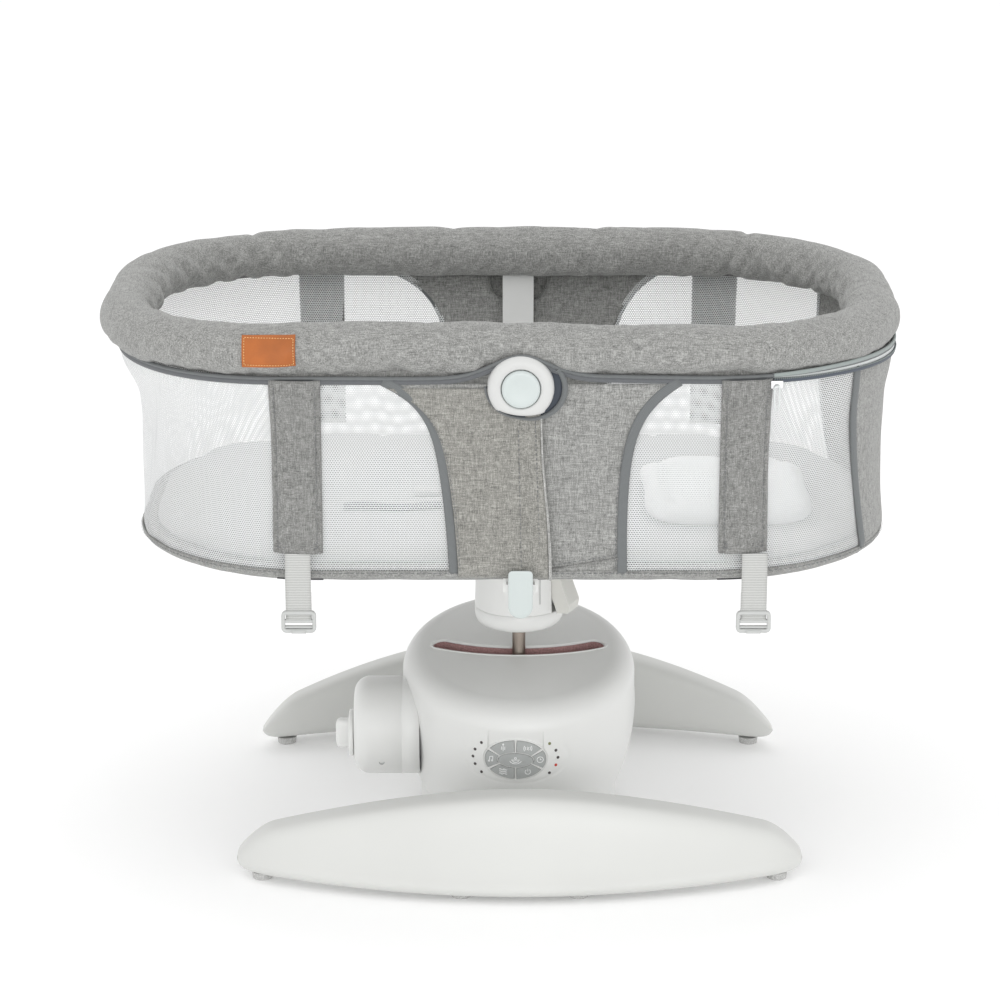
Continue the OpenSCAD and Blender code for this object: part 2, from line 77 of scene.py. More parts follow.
MAST = middle("post").x                      # the mast stands a little towards the head end
RIM_LOW, RIM_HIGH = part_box("rim_bumper")
RIM_R = (RIM_HIGH.z - RIM_LOW.z) / 2
RIM_Z = (RIM_HIGH.z + RIM_LOW.z) / 2
RIM_HX = RIM_HIGH.x - RIM_R
RIM_HY = RIM_HIGH.y - RIM_R
RIM_RC = 0.200 - RIM_R                       # corner radius of the rim's centreline
FLOOR_LOW, FLOOR_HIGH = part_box("basket_bottom")
WALL_X = (FLOOR_LOW.x + FLOOR_HIGH.x) / 2
WALL_HX = (FLOOR_HIGH.x - FLOOR_LOW.x) / 2
WALL_HY = FLOOR_HIGH.y
WALL_RC = 0.190                              # corner radius of the basket in plan
ZIP_LOW, ZIP_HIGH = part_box("zip_band")
ZIP_Z = (ZIP_LOW.z + ZIP_HIGH.z) / 2
WALL_TOP = ZIP_LOW.z
WALL_LOW = FLOOR_LOW.z
PANEL_X = (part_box("front_panel")[0].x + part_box("front_panel")[1].x) / 2
HUB_Z = middle("front_hub").z
HUB_FACE = -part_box("front_hub")[0].y
PIVOT = middle("pivot_shaft")
STRAP_HALF = 0.024                           # half the width of a strap
STRAP_X = [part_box("strap_sleeves")[0].x + STRAP_HALF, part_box("strap_sleeves")[1].x - STRAP_HALF]
STRAP_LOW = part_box("strap_sleeves")[0].z


# ---------------------------------------------------------------- mesh helpers
def make(name, verts, faces, smooth=True, uvs=None):
    mesh = bpy.data.meshes.new(name)
    mesh.from_pydata([tuple(v) for v in verts], [], [tuple(int(i) for i in f) for f in faces])
    mesh.update()
    if uvs is not None:
        layer = mesh.uv_layers.new(name="UVMap")
        index = np.empty(len(mesh.loops), np.int32)
        mesh.loops.foreach_get("vertex_index", index)
        layer.data.foreach_set("uv", np.asarray(uvs, np.float32)[index].ravel())
    mesh.polygons.foreach_set("use_smooth", [smooth] * len(mesh.polygons))
    obj = bpy.data.objects.new(name, mesh)
    bpy.context.scene.collection.objects.link(obj)
    return obj


def grid_faces(nu, nv, close_u=False, close_v=False):
    i, j = np.meshgrid(np.arange(nu if close_u else nu - 1), np.arange(nv if close_v else nv - 1),
                       indexing="ij")
    i, j = i.ravel(), j.ravel()
    a = i * nv + j
    b = ((i + 1) % nu) * nv + j
    c = ((i + 1) % nu) * nv + (j + 1) % nv
    d = i * nv + (j + 1) % nv
    return np.stack([a, b, c, d], 1)


def grid(name, points, close_u=False, close_v=False, uvs=None, caps=False):
    """Mesh of an (nu, nv, 3) array of points."""
    points = np.asarray(points, float)
    nu, nv = points.shape[:2]
    faces = [list(f) for f in grid_faces(nu, nv, close_u, close_v)]
    if caps and close_v:
        faces += [list(range(nv))[::-1], [(nu - 1) * nv + j for j in range(nv)]]
    flat_uvs = None if uvs is None else np.asarray(uvs).reshape(-1, 2)
    return make(name, points.reshape(-1, 3), faces, uvs=flat_uvs)


def smooth_line(points, n, closed=False):
    """Catmull-Rom curve through a few given points."""
    p = np.asarray(points, float)
    m = len(p)
    spans = m if closed else m - 1
    t = np.linspace(0, spans, n, endpoint=not closed)
    out = []
    for x in t:
        k = min(int(x), spans - 1)
        f = x - k
        if closed:
            a, b, c, d = (p[(k + s) % m] for s in (-1, 0, 1, 2))
        else:
            a, b, c, d = p[max(k - 1, 0)], p[k], p[min(k + 1, m - 1)], p[min(k + 2, m - 1)]
        out.append(0.5 * (2 * b + (c - a) * f + (2 * a - 5 * b + 4 * c - d) * f * f
                          + (3 * b - a - 3 * c + d) * f ** 3))
    return np.array(out)


def frames_along(path, normals, closed):
    """Unit tangent, side and normal at each point of a path."""
    path = np.asarray(path, float)
    if closed:
        tangent = np.roll(path, -1, 0) - np.roll(path, 1, 0)
    else:
        tangent = np.gradient(path, axis=0)
    tangent /= np.maximum(np.linalg.norm(tangent, axis=1, keepdims=True), 1e-12)
    normal = np.asarray(normals, float) - (np.asarray(normals) * tangent).sum(1, keepdims=True) * tangent
    normal /= np.maximum(np.linalg.norm(normal, axis=1, keepdims=True), 1e-12)
    side = np.cross(normal, tangent)
    return tangent, side, normal


def sweep(name, path, normals, profile, closed=False, scale=None):
    """Sweeps a closed profile of (side, normal) offsets along a path."""
    path = np.asarray(path, float)
    _, side, normal = frames_along(path, normals, closed)
    profile = np.asarray(profile, float)
    scale = np.ones(len(path)) if scale is None else np.asarray(scale)
    points = (path[:, None] + side[:, None] * (profile[None, :, :1] * scale[:, None, None])
              + normal[:, None] * (profile[None, :, 1:] * scale[:, None, None]))
    step = np.linalg.norm(np.diff(path, axis=0), axis=1)
    along = np.concatenate([[0], np.cumsum(step)])
    across = np.concatenate([[0], np.cumsum(np.linalg.norm(np.diff(profile, axis=0), axis=1))])
    uvs = np.stack(np.meshgrid(along, across, indexing="ij"), 2)
    return grid(name, points, closed, True, uvs, caps=not closed)


def tape_profile(width, thick, crown=0.0, n=7):
    """Cross-section of a flat tape with rounded edges and a slightly domed top."""
    top = [(-width / 2 + width * k / (n - 1), thick / 2 + crown * (1 - (2 * k / (n - 1) - 1) ** 2))
           for k in range(n)]
    bottom = [(x, -thick / 2) for x, _ in reversed(top)]
    return top + bottom


def revolve(name, profile, at, axis="Z", segments=96, sign=1):
    """Turns a list of (radius, height) about an axis through a point."""
    angles = np.linspace(0, 2 * math.pi, segments, endpoint=False)
    r = np.array([p[0] for p in profile])
    h = np.array([p[1] for p in profile]) * sign
    a = r[None, :] * np.cos(angles)[:, None]
    b = r[None, :] * np.sin(angles)[:, None]
    c = np.broadcast_to(h, a.shape)
    order = {"Z": (a, b, c), "Y": (a, c, b), "X": (c, a, b)}[axis]
    obj = grid(name, np.stack(order, 2) + np.array(at), close_u=True)
    tidy(obj)
    return obj


def tidy(obj, merge=1e-6):
    """Joins doubled points, drops collapsed faces and turns the normals outwards."""
    bm = bmesh.new()
    bm.from_mesh(obj.data)
    bmesh.ops.remove_doubles(bm, verts=bm.verts, dist=merge)
    bmesh.ops.dissolve_degenerate(bm, edges=bm.edges, dist=merge / 2)
    bmesh.ops.recalc_face_normals(bm, faces=bm.faces)
    for f in bm.faces:
        f.smooth = True
    bm.to_mesh(obj.data)
    bm.free()
    return obj


def join(name, objs):
    """One object from several, keeping each one's material slots."""
    bm = bmesh.new()
    mats = []
    for o in objs:
        part = bmesh.new()
        part.from_mesh(o.data)
        m = o.data.materials[0] if o.data.materials else None
        if m not in mats:
            mats.append(m)
        for f in part.faces:
            f.material_index = mats.index(m)
        mesh = bpy.data.meshes.new("part")
        part.to_mesh(mesh)
        part.free()
        bm.from_mesh(mesh)
        bpy.data.meshes.remove(mesh)
    mesh = bpy.data.meshes.new(name)
    bm.to_mesh(mesh)
    bm.free()
    for m in mats:
        if m is not None:
            mesh.materials.append(m)
    out = bpy.data.objects.new(name, mesh)
    bpy.context.scene.collection.objects.link(out)
    for o in objs:
        old = o.data
        bpy.data.objects.remove(o)
        if old.users == 0:
            bpy.data.meshes.remove(old)
    return out


def modify(obj, kind, **settings):
    m = obj.modifiers.new(kind.title(), kind)
    for key, value in settings.items():
        setattr(m, key, value)
    return m


def apply_all(obj):
    """Bakes an object's modifiers into its mesh."""
    graph = bpy.context.evaluated_depsgraph_get()
    graph.update()
    mesh = bpy.data.meshes.new_from_object(obj.evaluated_get(graph), preserve_all_data_layers=True,
                                           depsgraph=graph)
    old = obj.data
    obj.modifiers.clear()
    obj.data = mesh
    if old.users == 0:
        bpy.data.meshes.remove(old)
    return obj


def dress(obj, material, body, slot, *nodes):
    """Gives a piece its material, the body it rides on and the CAD nodes it stands for; slot is not used.
    """
    if material is not None and not obj.data.materials:
        obj.data.materials.append(material)
    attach(obj, body)
    if nodes:
        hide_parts(*nodes)
    return obj


def solid(obj, thick, offset=-1.0):
    """Gives a sheet its thickness."""
    modify(obj, "SOLIDIFY", thickness=thick, offset=offset, use_even_offset=False)
    return apply_all(obj)


def subdivide(obj, levels=1):
    modify(obj, "SUBSURF", levels=levels, render_levels=levels)
    return apply_all(obj)


def rubble(p, scale, seed=0.0):
    """Smooth noise from -1 to 1 at a point."""
    return noise.noise(Vector((p[0] * scale + seed, p[1] * scale - seed, p[2] * scale + 2 * seed)))


def stitches(name, path, normals, length=0.0028, gap=0.0018, thick=0.00055, lift=0.0002):
    """A row of thread stitches lying along a path."""
    path = np.asarray(path, float)
    _, side, normal = frames_along(path, normals, False)
    step = np.linalg.norm(np.diff(path, axis=0), axis=1)
    along = np.concatenate([[0], np.cumsum(step)])
    total = along[-1]
    count = max(1, int(total / (length + gap)))
    rows = []
    for k in range(count):
        a = (k + 0.2) * total / count
        b = a + length * total / count / (length + gap)
        ts = np.linspace(a, b, 5)
        pick = lambda arr: np.stack([np.interp(ts, along, arr[:, i]) for i in range(3)], 1)
        p, s, n = pick(path), pick(side), pick(normal)
        hump = np.sin(np.linspace(0, math.pi, 5))
        fat = thick * (0.45 + 0.55 * hump)
        ring = np.array([(1, 0), (0.5, 0.8), (-0.5, 0.8), (-1, 0), (0, -0.6)])
        pts = (p[:, None] + n[:, None] * ((lift + thick * 0.3 * hump)[:, None, None])
               + s[:, None] * (ring[None, :, :1] * fat[:, None, None] / 2 * 1.6)
               + n[:, None] * (ring[None, :, 1:] * fat[:, None, None] / 2))
        rows.append(pts)
    verts = np.concatenate([r.reshape(-1, 3) for r in rows])
    one = [list(f) for f in grid_faces(5, 5, False, True)] + [[4, 3, 2, 1, 0], [20, 21, 22, 23, 24]]
    faces = [[i + 25 * k for i in f] for k in range(count) for f in one]
    return make(name, verts, faces)


# ---------------------------------------------------------------- plan outlines
class Plan:
    """A rounded rectangle seen from above, measured by its perimeter q from the middle of the front.
    q grows towards +X, and one lap is 2 * half."""

    def __init__(self, cx, hx, hy, r):
        self.cx, self.hx, self.hy, self.r = cx, hx, hy, r
        self.sx, self.sy = hx - r, hy - r
        self.arc = math.pi * r / 2
        self.half = 2 * self.sx + 2 * self.arc + 2 * self.sy

    def at(self, q):
        """Points (x, y) and outward normals for an array of q."""
        q = np.asarray(q, float)
        q = (q + self.half) % (2 * self.half) - self.half
        s, a = np.sign(q), np.abs(q)
        s = np.where(s == 0, 1.0, s)
        e1, e2 = self.sx, self.sx + self.arc
        e3, e4 = e2 + 2 * self.sy, e2 + 2 * self.sy + self.arc
        ang = np.where(a < e2, (a - e1) / self.r, (a - e3) / self.r)
        x = np.select([a < e1, a < e2, a < e3, a < e4],
                      [a, self.sx + self.r * np.sin(ang), np.full_like(a, self.hx),
                       self.sx + self.r * np.cos(ang)],
                      self.sx - (a - e4))
        y = np.select([a < e1, a < e2, a < e3, a < e4],
                      [np.full_like(a, -self.hy), -self.sy - self.r * np.cos(ang), -self.sy + (a - e2),
                       self.sy + self.r * np.sin(ang)], np.full_like(a, self.hy))
        nx = np.select([a < e1, a < e2, a < e3, a < e4],
                       [np.zeros_like(a), np.sin(ang), np.ones_like(a), np.cos(ang)], np.zeros_like(a))
        ny = np.select([a < e1, a < e2, a < e3, a < e4],
                       [-np.ones_like(a), -np.cos(ang), np.zeros_like(a), np.sin(ang)], np.ones_like(a))
        return self.cx + s * x, y, s * nx, ny

    def q_of(self, x, rear=False):
        """Perimeter place of a point at x on the front or the rear side."""
        d = x - self.cx
        a = abs(d)
        if a > self.sx:
            a = self.sx + self.r * math.asin(min(1.0, (a - self.sx) / self.r))
        q = math.copysign(a, d)
        return math.copysign(self.half - abs(q), q) if rear else q


WALL = Plan(WALL_X, WALL_HX, WALL_HY, WALL_RC)
RIM = Plan(0.0, RIM_HX, RIM_HY, RIM_RC)


# ---------------------------------------------------------------- materials
class Recipe:
    """A Principled material put together node by node."""

    def __init__(self, name, rough=0.5, metal=0.0):
        self.mat = bpy.data.materials.new(name)
        self.mat.use_nodes = True
        self.tree = self.mat.node_tree
        self.shader = self.tree.nodes["Principled BSDF"]
        self.shader.inputs["Roughness"].default_value = rough
        self.shader.inputs["Metallic"].default_value = metal
        self.place = None

    def add(self, kind, **values):
        node = self.tree.nodes.new("ShaderNode" + kind)
        for key, value in values.items():
            if isinstance(value, bpy.types.NodeSocket):
                self.tree.links.new(value, node.inputs[key])
            elif key in node.inputs:
                node.inputs[key].default_value = value
            else:
                setattr(node, key, value)
        return node

    def math(self, operation, a, b=0.0):
        node = self.tree.nodes.new("ShaderNodeMath")
        node.operation = operation
        for socket, value in zip(node.inputs, (a, b)):
            if isinstance(value, bpy.types.NodeSocket):
                self.tree.links.new(value, socket)
            else:
                socket.default_value = value
        return node.outputs[0]

    def coords(self, scale=(1, 1, 1), uv=False, turn=(0, 0, 0)):
        if self.place is None:
            self.place = self.tree.nodes.new("ShaderNodeTexCoord")
        mapping = self.tree.nodes.new("ShaderNodeMapping")
        mapping.inputs["Scale"].default_value = scale
        mapping.inputs["Rotation"].default_value = turn
        self.tree.links.new(self.place.outputs["UV" if uv else "Object"], mapping.inputs["Vector"])
        return mapping.outputs["Vector"]

    def noise(self, scale, detail=2.0, stretch=(1, 1, 1), rough=0.5):
        return self.add("TexNoise", Vector=self.coords(stretch), Scale=scale, Detail=detail,
                        Roughness=rough).outputs["Fac"]

    def ramp(self, fac, *stops):
        node = self.add("ValToRGB", Fac=fac)
        ramp = node.color_ramp
        while len(ramp.elements) < len(stops):
            ramp.elements.new(0.5)
        for element, (place, colour) in zip(ramp.elements, stops):
            element.position = place
            element.color = (*colour, 1) if len(colour) == 3 else (colour[0],) * 3 + (1,)
        return node.outputs["Color"]

    def scaled(self, fac, low, high):
        node = self.tree.nodes.new("ShaderNodeMapRange")
        self.tree.links.new(fac, node.inputs["Value"])
        node.inputs["To Min"].default_value = low
        node.inputs["To Max"].default_value = high
        return node.outputs["Result"]

    def set(self, **sockets):
        for key, value in sockets.items():
            socket = self.shader.inputs[key.replace("_", " ")]
            if isinstance(value, bpy.types.NodeSocket):
                self.tree.links.new(value, socket)
            else:
                socket.default_value = value
        return self

    def bump(self, height, depth, strength=1.0):
        node = self.add("Bump", Height=height, Distance=depth, Strength=strength)
        self.tree.links.new(node.outputs["Normal"], self.shader.inputs["Normal"])
        return self


def plastic(name, colour, rough=0.38, grain=0.00004, coat=0.0):
    r = Recipe(name, rough)
    tint = [c * 0.965 for c in colour]
    r.set(Base_Color=r.ramp(r.noise(7.0, 3.0), (0.3, tint), (0.7, colour)),
          Roughness=r.scaled(r.noise(60.0, 4.0), rough - 0.05, rough + 0.07),
          Coat_Weight=coat, Coat_Roughness=0.15)
    r.bump(r.noise(1900.0, 2.0), grain)
    return r.mat


def heather(name, light=1.0, tint=(1, 1, 1)):
    """Grey yarns of mixed darkness, woven both ways."""
    r = Recipe(name, 0.92)
    long_x = r.noise(1.0, 3.0, (95, 1150, 1150), 0.62)
    long_y = r.noise(1.0, 3.0, (1150, 95, 1150), 0.62)
    long_z = r.noise(1.0, 3.0, (1150, 1150, 120), 0.62)
    threads = r.math("ADD", r.math("ADD", long_x, long_y), long_z)
    patch = r.noise(160.0, 3.0)
    mixed = r.math("ADD", r.math("MULTIPLY", threads, 0.30), r.math("MULTIPLY", patch, 0.10))
    shades = ((0.095, 0.097, 0.093), (0.280, 0.281, 0.270), (0.52, 0.52, 0.505))
    dark, mid, pale = ([c * light * d for c, d in zip(k, tint)] for k in shades)
    r.set(Base_Color=r.ramp(mixed, (0.37, dark), (0.50, mid), (0.63, pale)), Sheen_Weight=0.22,
          Sheen_Roughness=0.5)
    r.bump(threads, 0.0005, 0.7)
    return r.mat


def tape_cloth(name, colour, pitch=0.0011, rough=0.85):
    """Close-woven tape with fine ribs across it."""
    r = Recipe(name, rough)
    wave = r.add("TexWave", Vector=r.coords(uv=True), Scale=math.pi / pitch / 10, Distortion=0.6,
                 Detail=1.0)
    fine = r.noise(1400.0, 2.0)
    both = r.math("ADD", r.math("MULTIPLY", wave.outputs["Fac"], 0.6), r.math("MULTIPLY", fine, 0.4))
    r.set(Base_Color=r.ramp(both, (0.25, [c * 0.72 for c in colour]),
                            (0.75, [c * 1.15 for c in colour])),
          Sheen_Weight=0.15)
    r.bump(both, 0.0003, 0.8)
    return r.mat


def net(name, colour=(0.78, 0.79, 0.79), pitch=0.0025, hole=0.36):
    """Fine knitted net: staggered round holes between pale threads, laid out in metres by the UV map."""
    r = Recipe(name, 0.75)
    flat = r.coords((1 / pitch, 1 / (pitch * 0.8), 1), uv=True)
    parts = r.add("SeparateXYZ", Vector=flat)
    row = r.math("FLOOR", parts.outputs["Y"])
    shift = r.math("MULTIPLY", r.math("MODULO", r.math("ABSOLUTE", row), 2.0), 0.5)
    u = r.math("SUBTRACT", r.math("FRACT", r.math("ADD", parts.outputs["X"], shift)), 0.5)
    v = r.math("SUBTRACT", r.math("FRACT", parts.outputs["Y"]), 0.5)
    reach = r.math("SQRT", r.math("ADD", r.math("MULTIPLY", u, u), r.math("MULTIPLY", v, v)))
    thread = r.math("GREATER_THAN", reach, hole)
    r.set(Base_Color=r.ramp(r.noise(900.0, 2.0), (0.3, [c * 0.93 for c in colour]), (0.7, colour)),
          Sheen_Weight=0.1)
    r.bump(reach, 0.0002, 0.6)
    clear = r.add("BsdfTransparent")
    mix = r.add("MixShader", Fac=thread)
    r.tree.links.new(clear.outputs[0], mix.inputs[1])
    r.tree.links.new(r.shader.outputs[0], mix.inputs[2])
    out = next(n for n in r.tree.nodes if n.type == "OUTPUT_MATERIAL")
    r.tree.links.new(mix.outputs[0], out.inputs["Surface"])
    return r.mat


def leather(name, colour):
    r = Recipe(name, 0.5)
    grain = r.add("TexVoronoi", Vector=r.coords(), Scale=900.0).outputs["Distance"]
    cloud = r.noise(45.0, 4.0)
    r.set(Base_Color=r.ramp(cloud, (0.3, [c * 0.85 for c in colour]), (0.7, [c * 1.12 for c in colour])),
          Roughness=r.scaled(cloud, 0.42, 0.6))
    r.bump(grain, 0.00025, 0.6)
    return r.mat


def quilt_cloth(name, colour, rough=0.8, weave=2600.0):
    r = Recipe(name, rough)
    fine = r.noise(weave, 2.0)
    cloud = r.noise(30.0, 3.0)
    both = r.math("ADD", r.math("MULTIPLY", fine, 0.5), r.math("MULTIPLY", cloud, 0.5))
    r.set(Base_Color=r.ramp(both, (0.3, [c * 0.9 for c in colour]), (0.7, colour)), Sheen_Weight=0.2)
    r.bump(fine, 0.0002, 0.5)
    return r.mat


def metal(name, colour, rough=0.3, brush=(1, 1, 40)):
    r = Recipe(name, rough, 1.0)
    lines = r.noise(60.0, 4.0, tuple(40 / b for b in brush))
    r.set(Base_Color=r.ramp(lines, (0.3, [c * 0.85 for c in colour]), (0.7, colour)),
          Roughness=r.scaled(lines, rough - 0.06, rough + 0.1))
    r.bump(lines, 0.00005, 0.5)
    return r.mat


def speckled(name, colour, rough=0.6, scale=500.0, depth=0.0003, lift=1.25):
    r = Recipe(name, rough)
    spots = r.noise(scale, 4.0)
    r.set(Base_Color=r.ramp(spots, (0.35, [c * 0.8 for c in colour]),
                            (0.65, [min(1, c * lift) for c in colour])))
    r.bump(spots, depth, 0.7)
    return r.mat


# the leg and hub plastics are darker copies of the white plastic: partly a slightly greyer real tone,
# mostly painted shade that keeps the legs and hubs in open light from reading brighter than the housing in
# the basket's shadow
WHITE = plastic("white_plastic", (0.82, 0.825, 0.81), 0.36)
LEG_WHITE_PAINTED_SHADE = plastic("leg_plastic_painted_shade", (0.655, 0.66, 0.64), 0.38)
HUB_WHITE_PAINTED_SHADE = plastic("hub_plastic_painted_shade", (0.60, 0.605, 0.595), 0.34)
GLOSSY = plastic("glossy_plastic", (0.55, 0.60, 0.59), 0.2, 0.00001, 0.3)
CREAM = plastic("cream_plastic", (0.70, 0.695, 0.655), 0.42)
KEYS = plastic("grey_keys", (0.43, 0.445, 0.44), 0.5)
ICON = plastic("key_symbols", (0.90, 0.91, 0.91), 0.5)
BLACK = plastic("black_plastic", (0.035, 0.035, 0.037), 0.5)
SMOKE = plastic("grey_bracket", (0.50, 0.505, 0.50), 0.5)
BUCKLE = plastic("buckle_plastic", (0.50, 0.51, 0.50), 0.3, 0.00002, 0.2)
LAMP_DARK = plastic("lamp_dark", (0.07, 0.06, 0.06), 0.3)
LAMP_RED = plastic("lamp_red", (0.55, 0.06, 0.04), 0.3)
LAMP_OLIVE = plastic("lamp_olive", (0.20, 0.21, 0.09), 0.3)
HEATHER = heather("heather_fabric")
# paler copy of the heather for the flap's folded edge: a painted highlight
HEATHER_FOLD_HIGHLIGHT = heather("heather_fold_painted_highlight", 1.35)
HEATHER_WARM = heather("heather_flap", 0.92, tint=(1.02, 1.0, 0.955))
HEATHER_DARK = heather("heather_strap", 0.80)
BINDING = tape_cloth("binding_tape", (0.165, 0.175, 0.178))
ZIP_TAPE = tape_cloth("zip_tape", (0.135, 0.142, 0.150))
NAVY_TAPE = tape_cloth("zip_edge_tape", (0.085, 0.10, 0.125))
ZIP_WHITE = tape_cloth("zip_white_tape", (0.72, 0.75, 0.74))
ZIP_GREEN = tape_cloth("zip_inner_tape", (0.33, 0.37, 0.36))
WEBBING = tape_cloth("white_webbing", (0.53, 0.535, 0.52), 0.0017)
STRAP_DARK = tape_cloth("dark_strap", (0.17, 0.18, 0.19), 0.0015)
NET = net("white_net")
LEATHER = leather("tan_leather", (0.40, 0.112, 0.018))
THREAD_TAN = speckled("tan_thread", (0.80, 0.50, 0.22), 0.7, 1500.0)
THREAD_GREY = speckled("grey_thread", (0.17, 0.175, 0.18), 0.8, 1500.0)
MATTRESS = quilt_cloth("mattress_cloth", (0.47, 0.475, 0.47))
PILLOW = quilt_cloth("pillow_cloth", (0.86, 0.87, 0.87), 0.75)
FELT = speckled("felt", (0.42, 0.245, 0.24), 0.95, 700.0, 0.0004)
STEEL = metal("post_steel", (0.36, 0.31, 0.27), 0.34)
BRIGHT = metal("bright_steel", (0.75, 0.75, 0.76), 0.22)
RUBBER = speckled("rubber", (0.50, 0.50, 0.49), 0.8, 800.0, 0.0001)
BOARD = speckled("fibreboard", (0.34, 0.34, 0.33), 0.85, 260.0)
CIRCUIT = speckled("circuit_board", (0.03, 0.20, 0.08), 0.4, 120.0, 0.0001, 1.6)
COPPER = metal("copper_wire", (0.80, 0.42, 0.22), 0.3, (1, 1, 1))


# ---------------------------------------------------------------- the shape of the basket wall
BAND = Plan((ZIP_LOW.x + ZIP_HIGH.x) / 2, (ZIP_HIGH.x - ZIP_LOW.x) / 2 - 0.003, ZIP_HIGH.y - 0.003,
            WALL_RC)
FLARE = 0.050          # height over which the wall leans out to the band
FOOT_ROUND = 0.016     # rounding where the wall turns under
PINCH = 0.005          # how far the taut cloth pulls in at half height


def band_place(q):
    """Place on the band's outline above a place on the wall's; straight runs stay in line."""
    q = (np.asarray(q, float) + WALL.half) % (2 * WALL.half) - WALL.half
    w = np.clip((np.abs(q) - WALL.sx) / (WALL.half - 2 * WALL.sx), 0, 1)
    w = w * w * (3 - 2 * w)
    return q + (WALL.cx - BAND.cx) * (1 - 2 * w) + np.sign(q) * (BAND.half - WALL.half) * w


def wall_point(q, z, out=0.0, crease=0.0):
    """A point on the basket's sewn wall at height z, q metres round it from the middle of the front."""
    q = np.asarray(q, float)
    z = np.broadcast_to(np.asarray(z, float), q.shape)
    x, y, nx, ny = WALL.at(q)
    bx, by, _, _ = BAND.at(band_place(q))
    t = np.clip((z - WALL_TOP + FLARE) / FLARE, 0, 1)
    t = t * t * (3 - 2 * t)
    x, y = x + (bx - x) * t, y + (by - y) * t
    h = np.clip((z - WALL_LOW) / (WALL_TOP - WALL_LOW), 0, 1)
    under = np.clip(WALL_LOW + FOOT_ROUND - z, 0, FOOT_ROUND)
    inset = PINCH * np.sin(math.pi * h) + FOOT_ROUND - np.sqrt(FOOT_ROUND ** 2 - under ** 2)
    if crease:
        round_q = np.abs((q + WALL.half) % (2 * WALL.half) - WALL.half)
        ends = 0.5 + 2.2 * np.clip((round_q - 0.30) / 0.25, 0, 1)
        gather = np.sin(q * 61 + 3 * np.sin(q * 17) + z * 23) + 0.5 * np.sin(q * 131 - z * 31 + 1.0)
        inset = inset + crease * ends * gather * np.sin(math.pi * h) ** 0.7
    d = out - inset
    return np.stack([x + nx * d, y + ny * d, z], -1)


def wall_patch(name, left, right, low, high, across, up, out=0.0, crease=0.0, rear=False, lift=None):
    """Part of the wall between two edges given as functions of the height share, from z low to high."""
    t = np.linspace(0, 1, up)
    z = low + (high - low) * t
    s = np.linspace(0, 1, across)
    a, b = np.array([left(k) for k in t]), np.array([right(k) for k in t])
    q = a[None] + (b - a)[None] * s[:, None]
    zz = np.broadcast_to(z, q.shape)
    o = out + (lift(q, zz, s[:, None], t[None]) if lift else 0.0)
    points = wall_point(q, zz, o, crease)
    uvs = np.stack([q, zz], -1)
    if rear:
        points = points * FLIP
    return grid(name, points, uvs=uvs)


def wall_line(q, z, out):
    """Points and outward normals along a line drawn on the wall."""
    q, z = np.asarray(q, float), np.asarray(z, float)
    here = wall_point(q, z, out)
    normals = wall_point(q, z, out + 0.01) - here
    return here, normals


# ---------------------------------------------------------------- sewn wall of the basket
HEAD_EDGE = WALL.q_of(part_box("head_end_panel")[0].x)


def panel_left(t):
    """Waisted edge of the side panels at a share of their height."""
    return PANEL_X - WALL_X - (0.0745 + 0.008 * t + 0.0175 * t ** 2 + 0.0425 * t ** 9)


def panel_right(t):
    return PANEL_X - WALL_X + (0.0895 - 0.008 * t + 0.019 * t ** 2 + 0.042 * t ** 7)


def head_edge(t):
    return HEAD_EDGE + 0.030 * (1 - t) ** 1.3 - 0.002


def wall_area(left, right):
    t = np.linspace(0, 1, 60)
    widths = np.array([right(k) - left(k) for k in t])
    return float(widths.mean() * (WALL_TOP - WALL_LOW)), float(widths.max())


def hang_net(name, node, left, right, rear=False):
    across = max(40, int((right(0.5) - left(0.5)) / 0.006))
    o = wall_patch(name, left, right, WALL_LOW + 0.0005, WALL_TOP + 0.012, across, 40, 0.0, 0.0011, rear)
    dress(o, NET, "bassinet", "white_net", node)
    area, width = wall_area(left, right)


def build_nets():
    hang_net("net_foot_end", "mesh_foot_end", lambda t: -(WALL.half + panel_left(t)), panel_left)
    hang_net("net_head_front", "mesh_head_front", panel_right, head_edge)
    hang_net("net_head_rear", "mesh_head_rear", panel_right, head_edge, rear=True)


def cloth_ripple(size, scale, seed):
    """Offset function that gives sewn cloth its small uneven swells."""
    def lift(q, z, s, t):
        out = np.empty(np.broadcast(q, z).shape)
        for k in np.ndindex(out.shape):
            out[k] = rubble((q[k], z[k], 0.1), scale, seed)
        return out * size
    return lift


def edge_binding(name, side, low=0.0, high=1.0, width=0.0095, rear=False, out=0.0017, n=60):
    t = np.linspace(low, high, n)
    z = WALL_LOW + (WALL_TOP + 0.009 - WALL_LOW) * t
    q = np.array([side(k) for k in t])
    path, normals = mirrored(wall_line(q, z, out), rear)
    return sweep(name, path, normals, tape_profile(width, 0.0018, 0.0006))


def line_on_wall(name, q0, q1, z0, z1, out, rear=False, **thread):
    n = 80
    q, z = np.linspace(q0, q1, n), np.linspace(z0, z1, n)
    path, normals = mirrored(wall_line(q, z, out), rear)
    return stitches(name, path, normals, **thread)


FLAP_TOP = 0.038 - WALL_X      # vertical edge of the overlapping flap
FLAP_LOW = 0.047 - WALL_X


def flap_edge(t):
    return FLAP_LOW + (FLAP_TOP - FLAP_LOW) * t + 0.0012 * math.sin(7 * t)


def mirrored(pair, rear):
    return tuple(k * FLIP for k in pair) if rear else pair


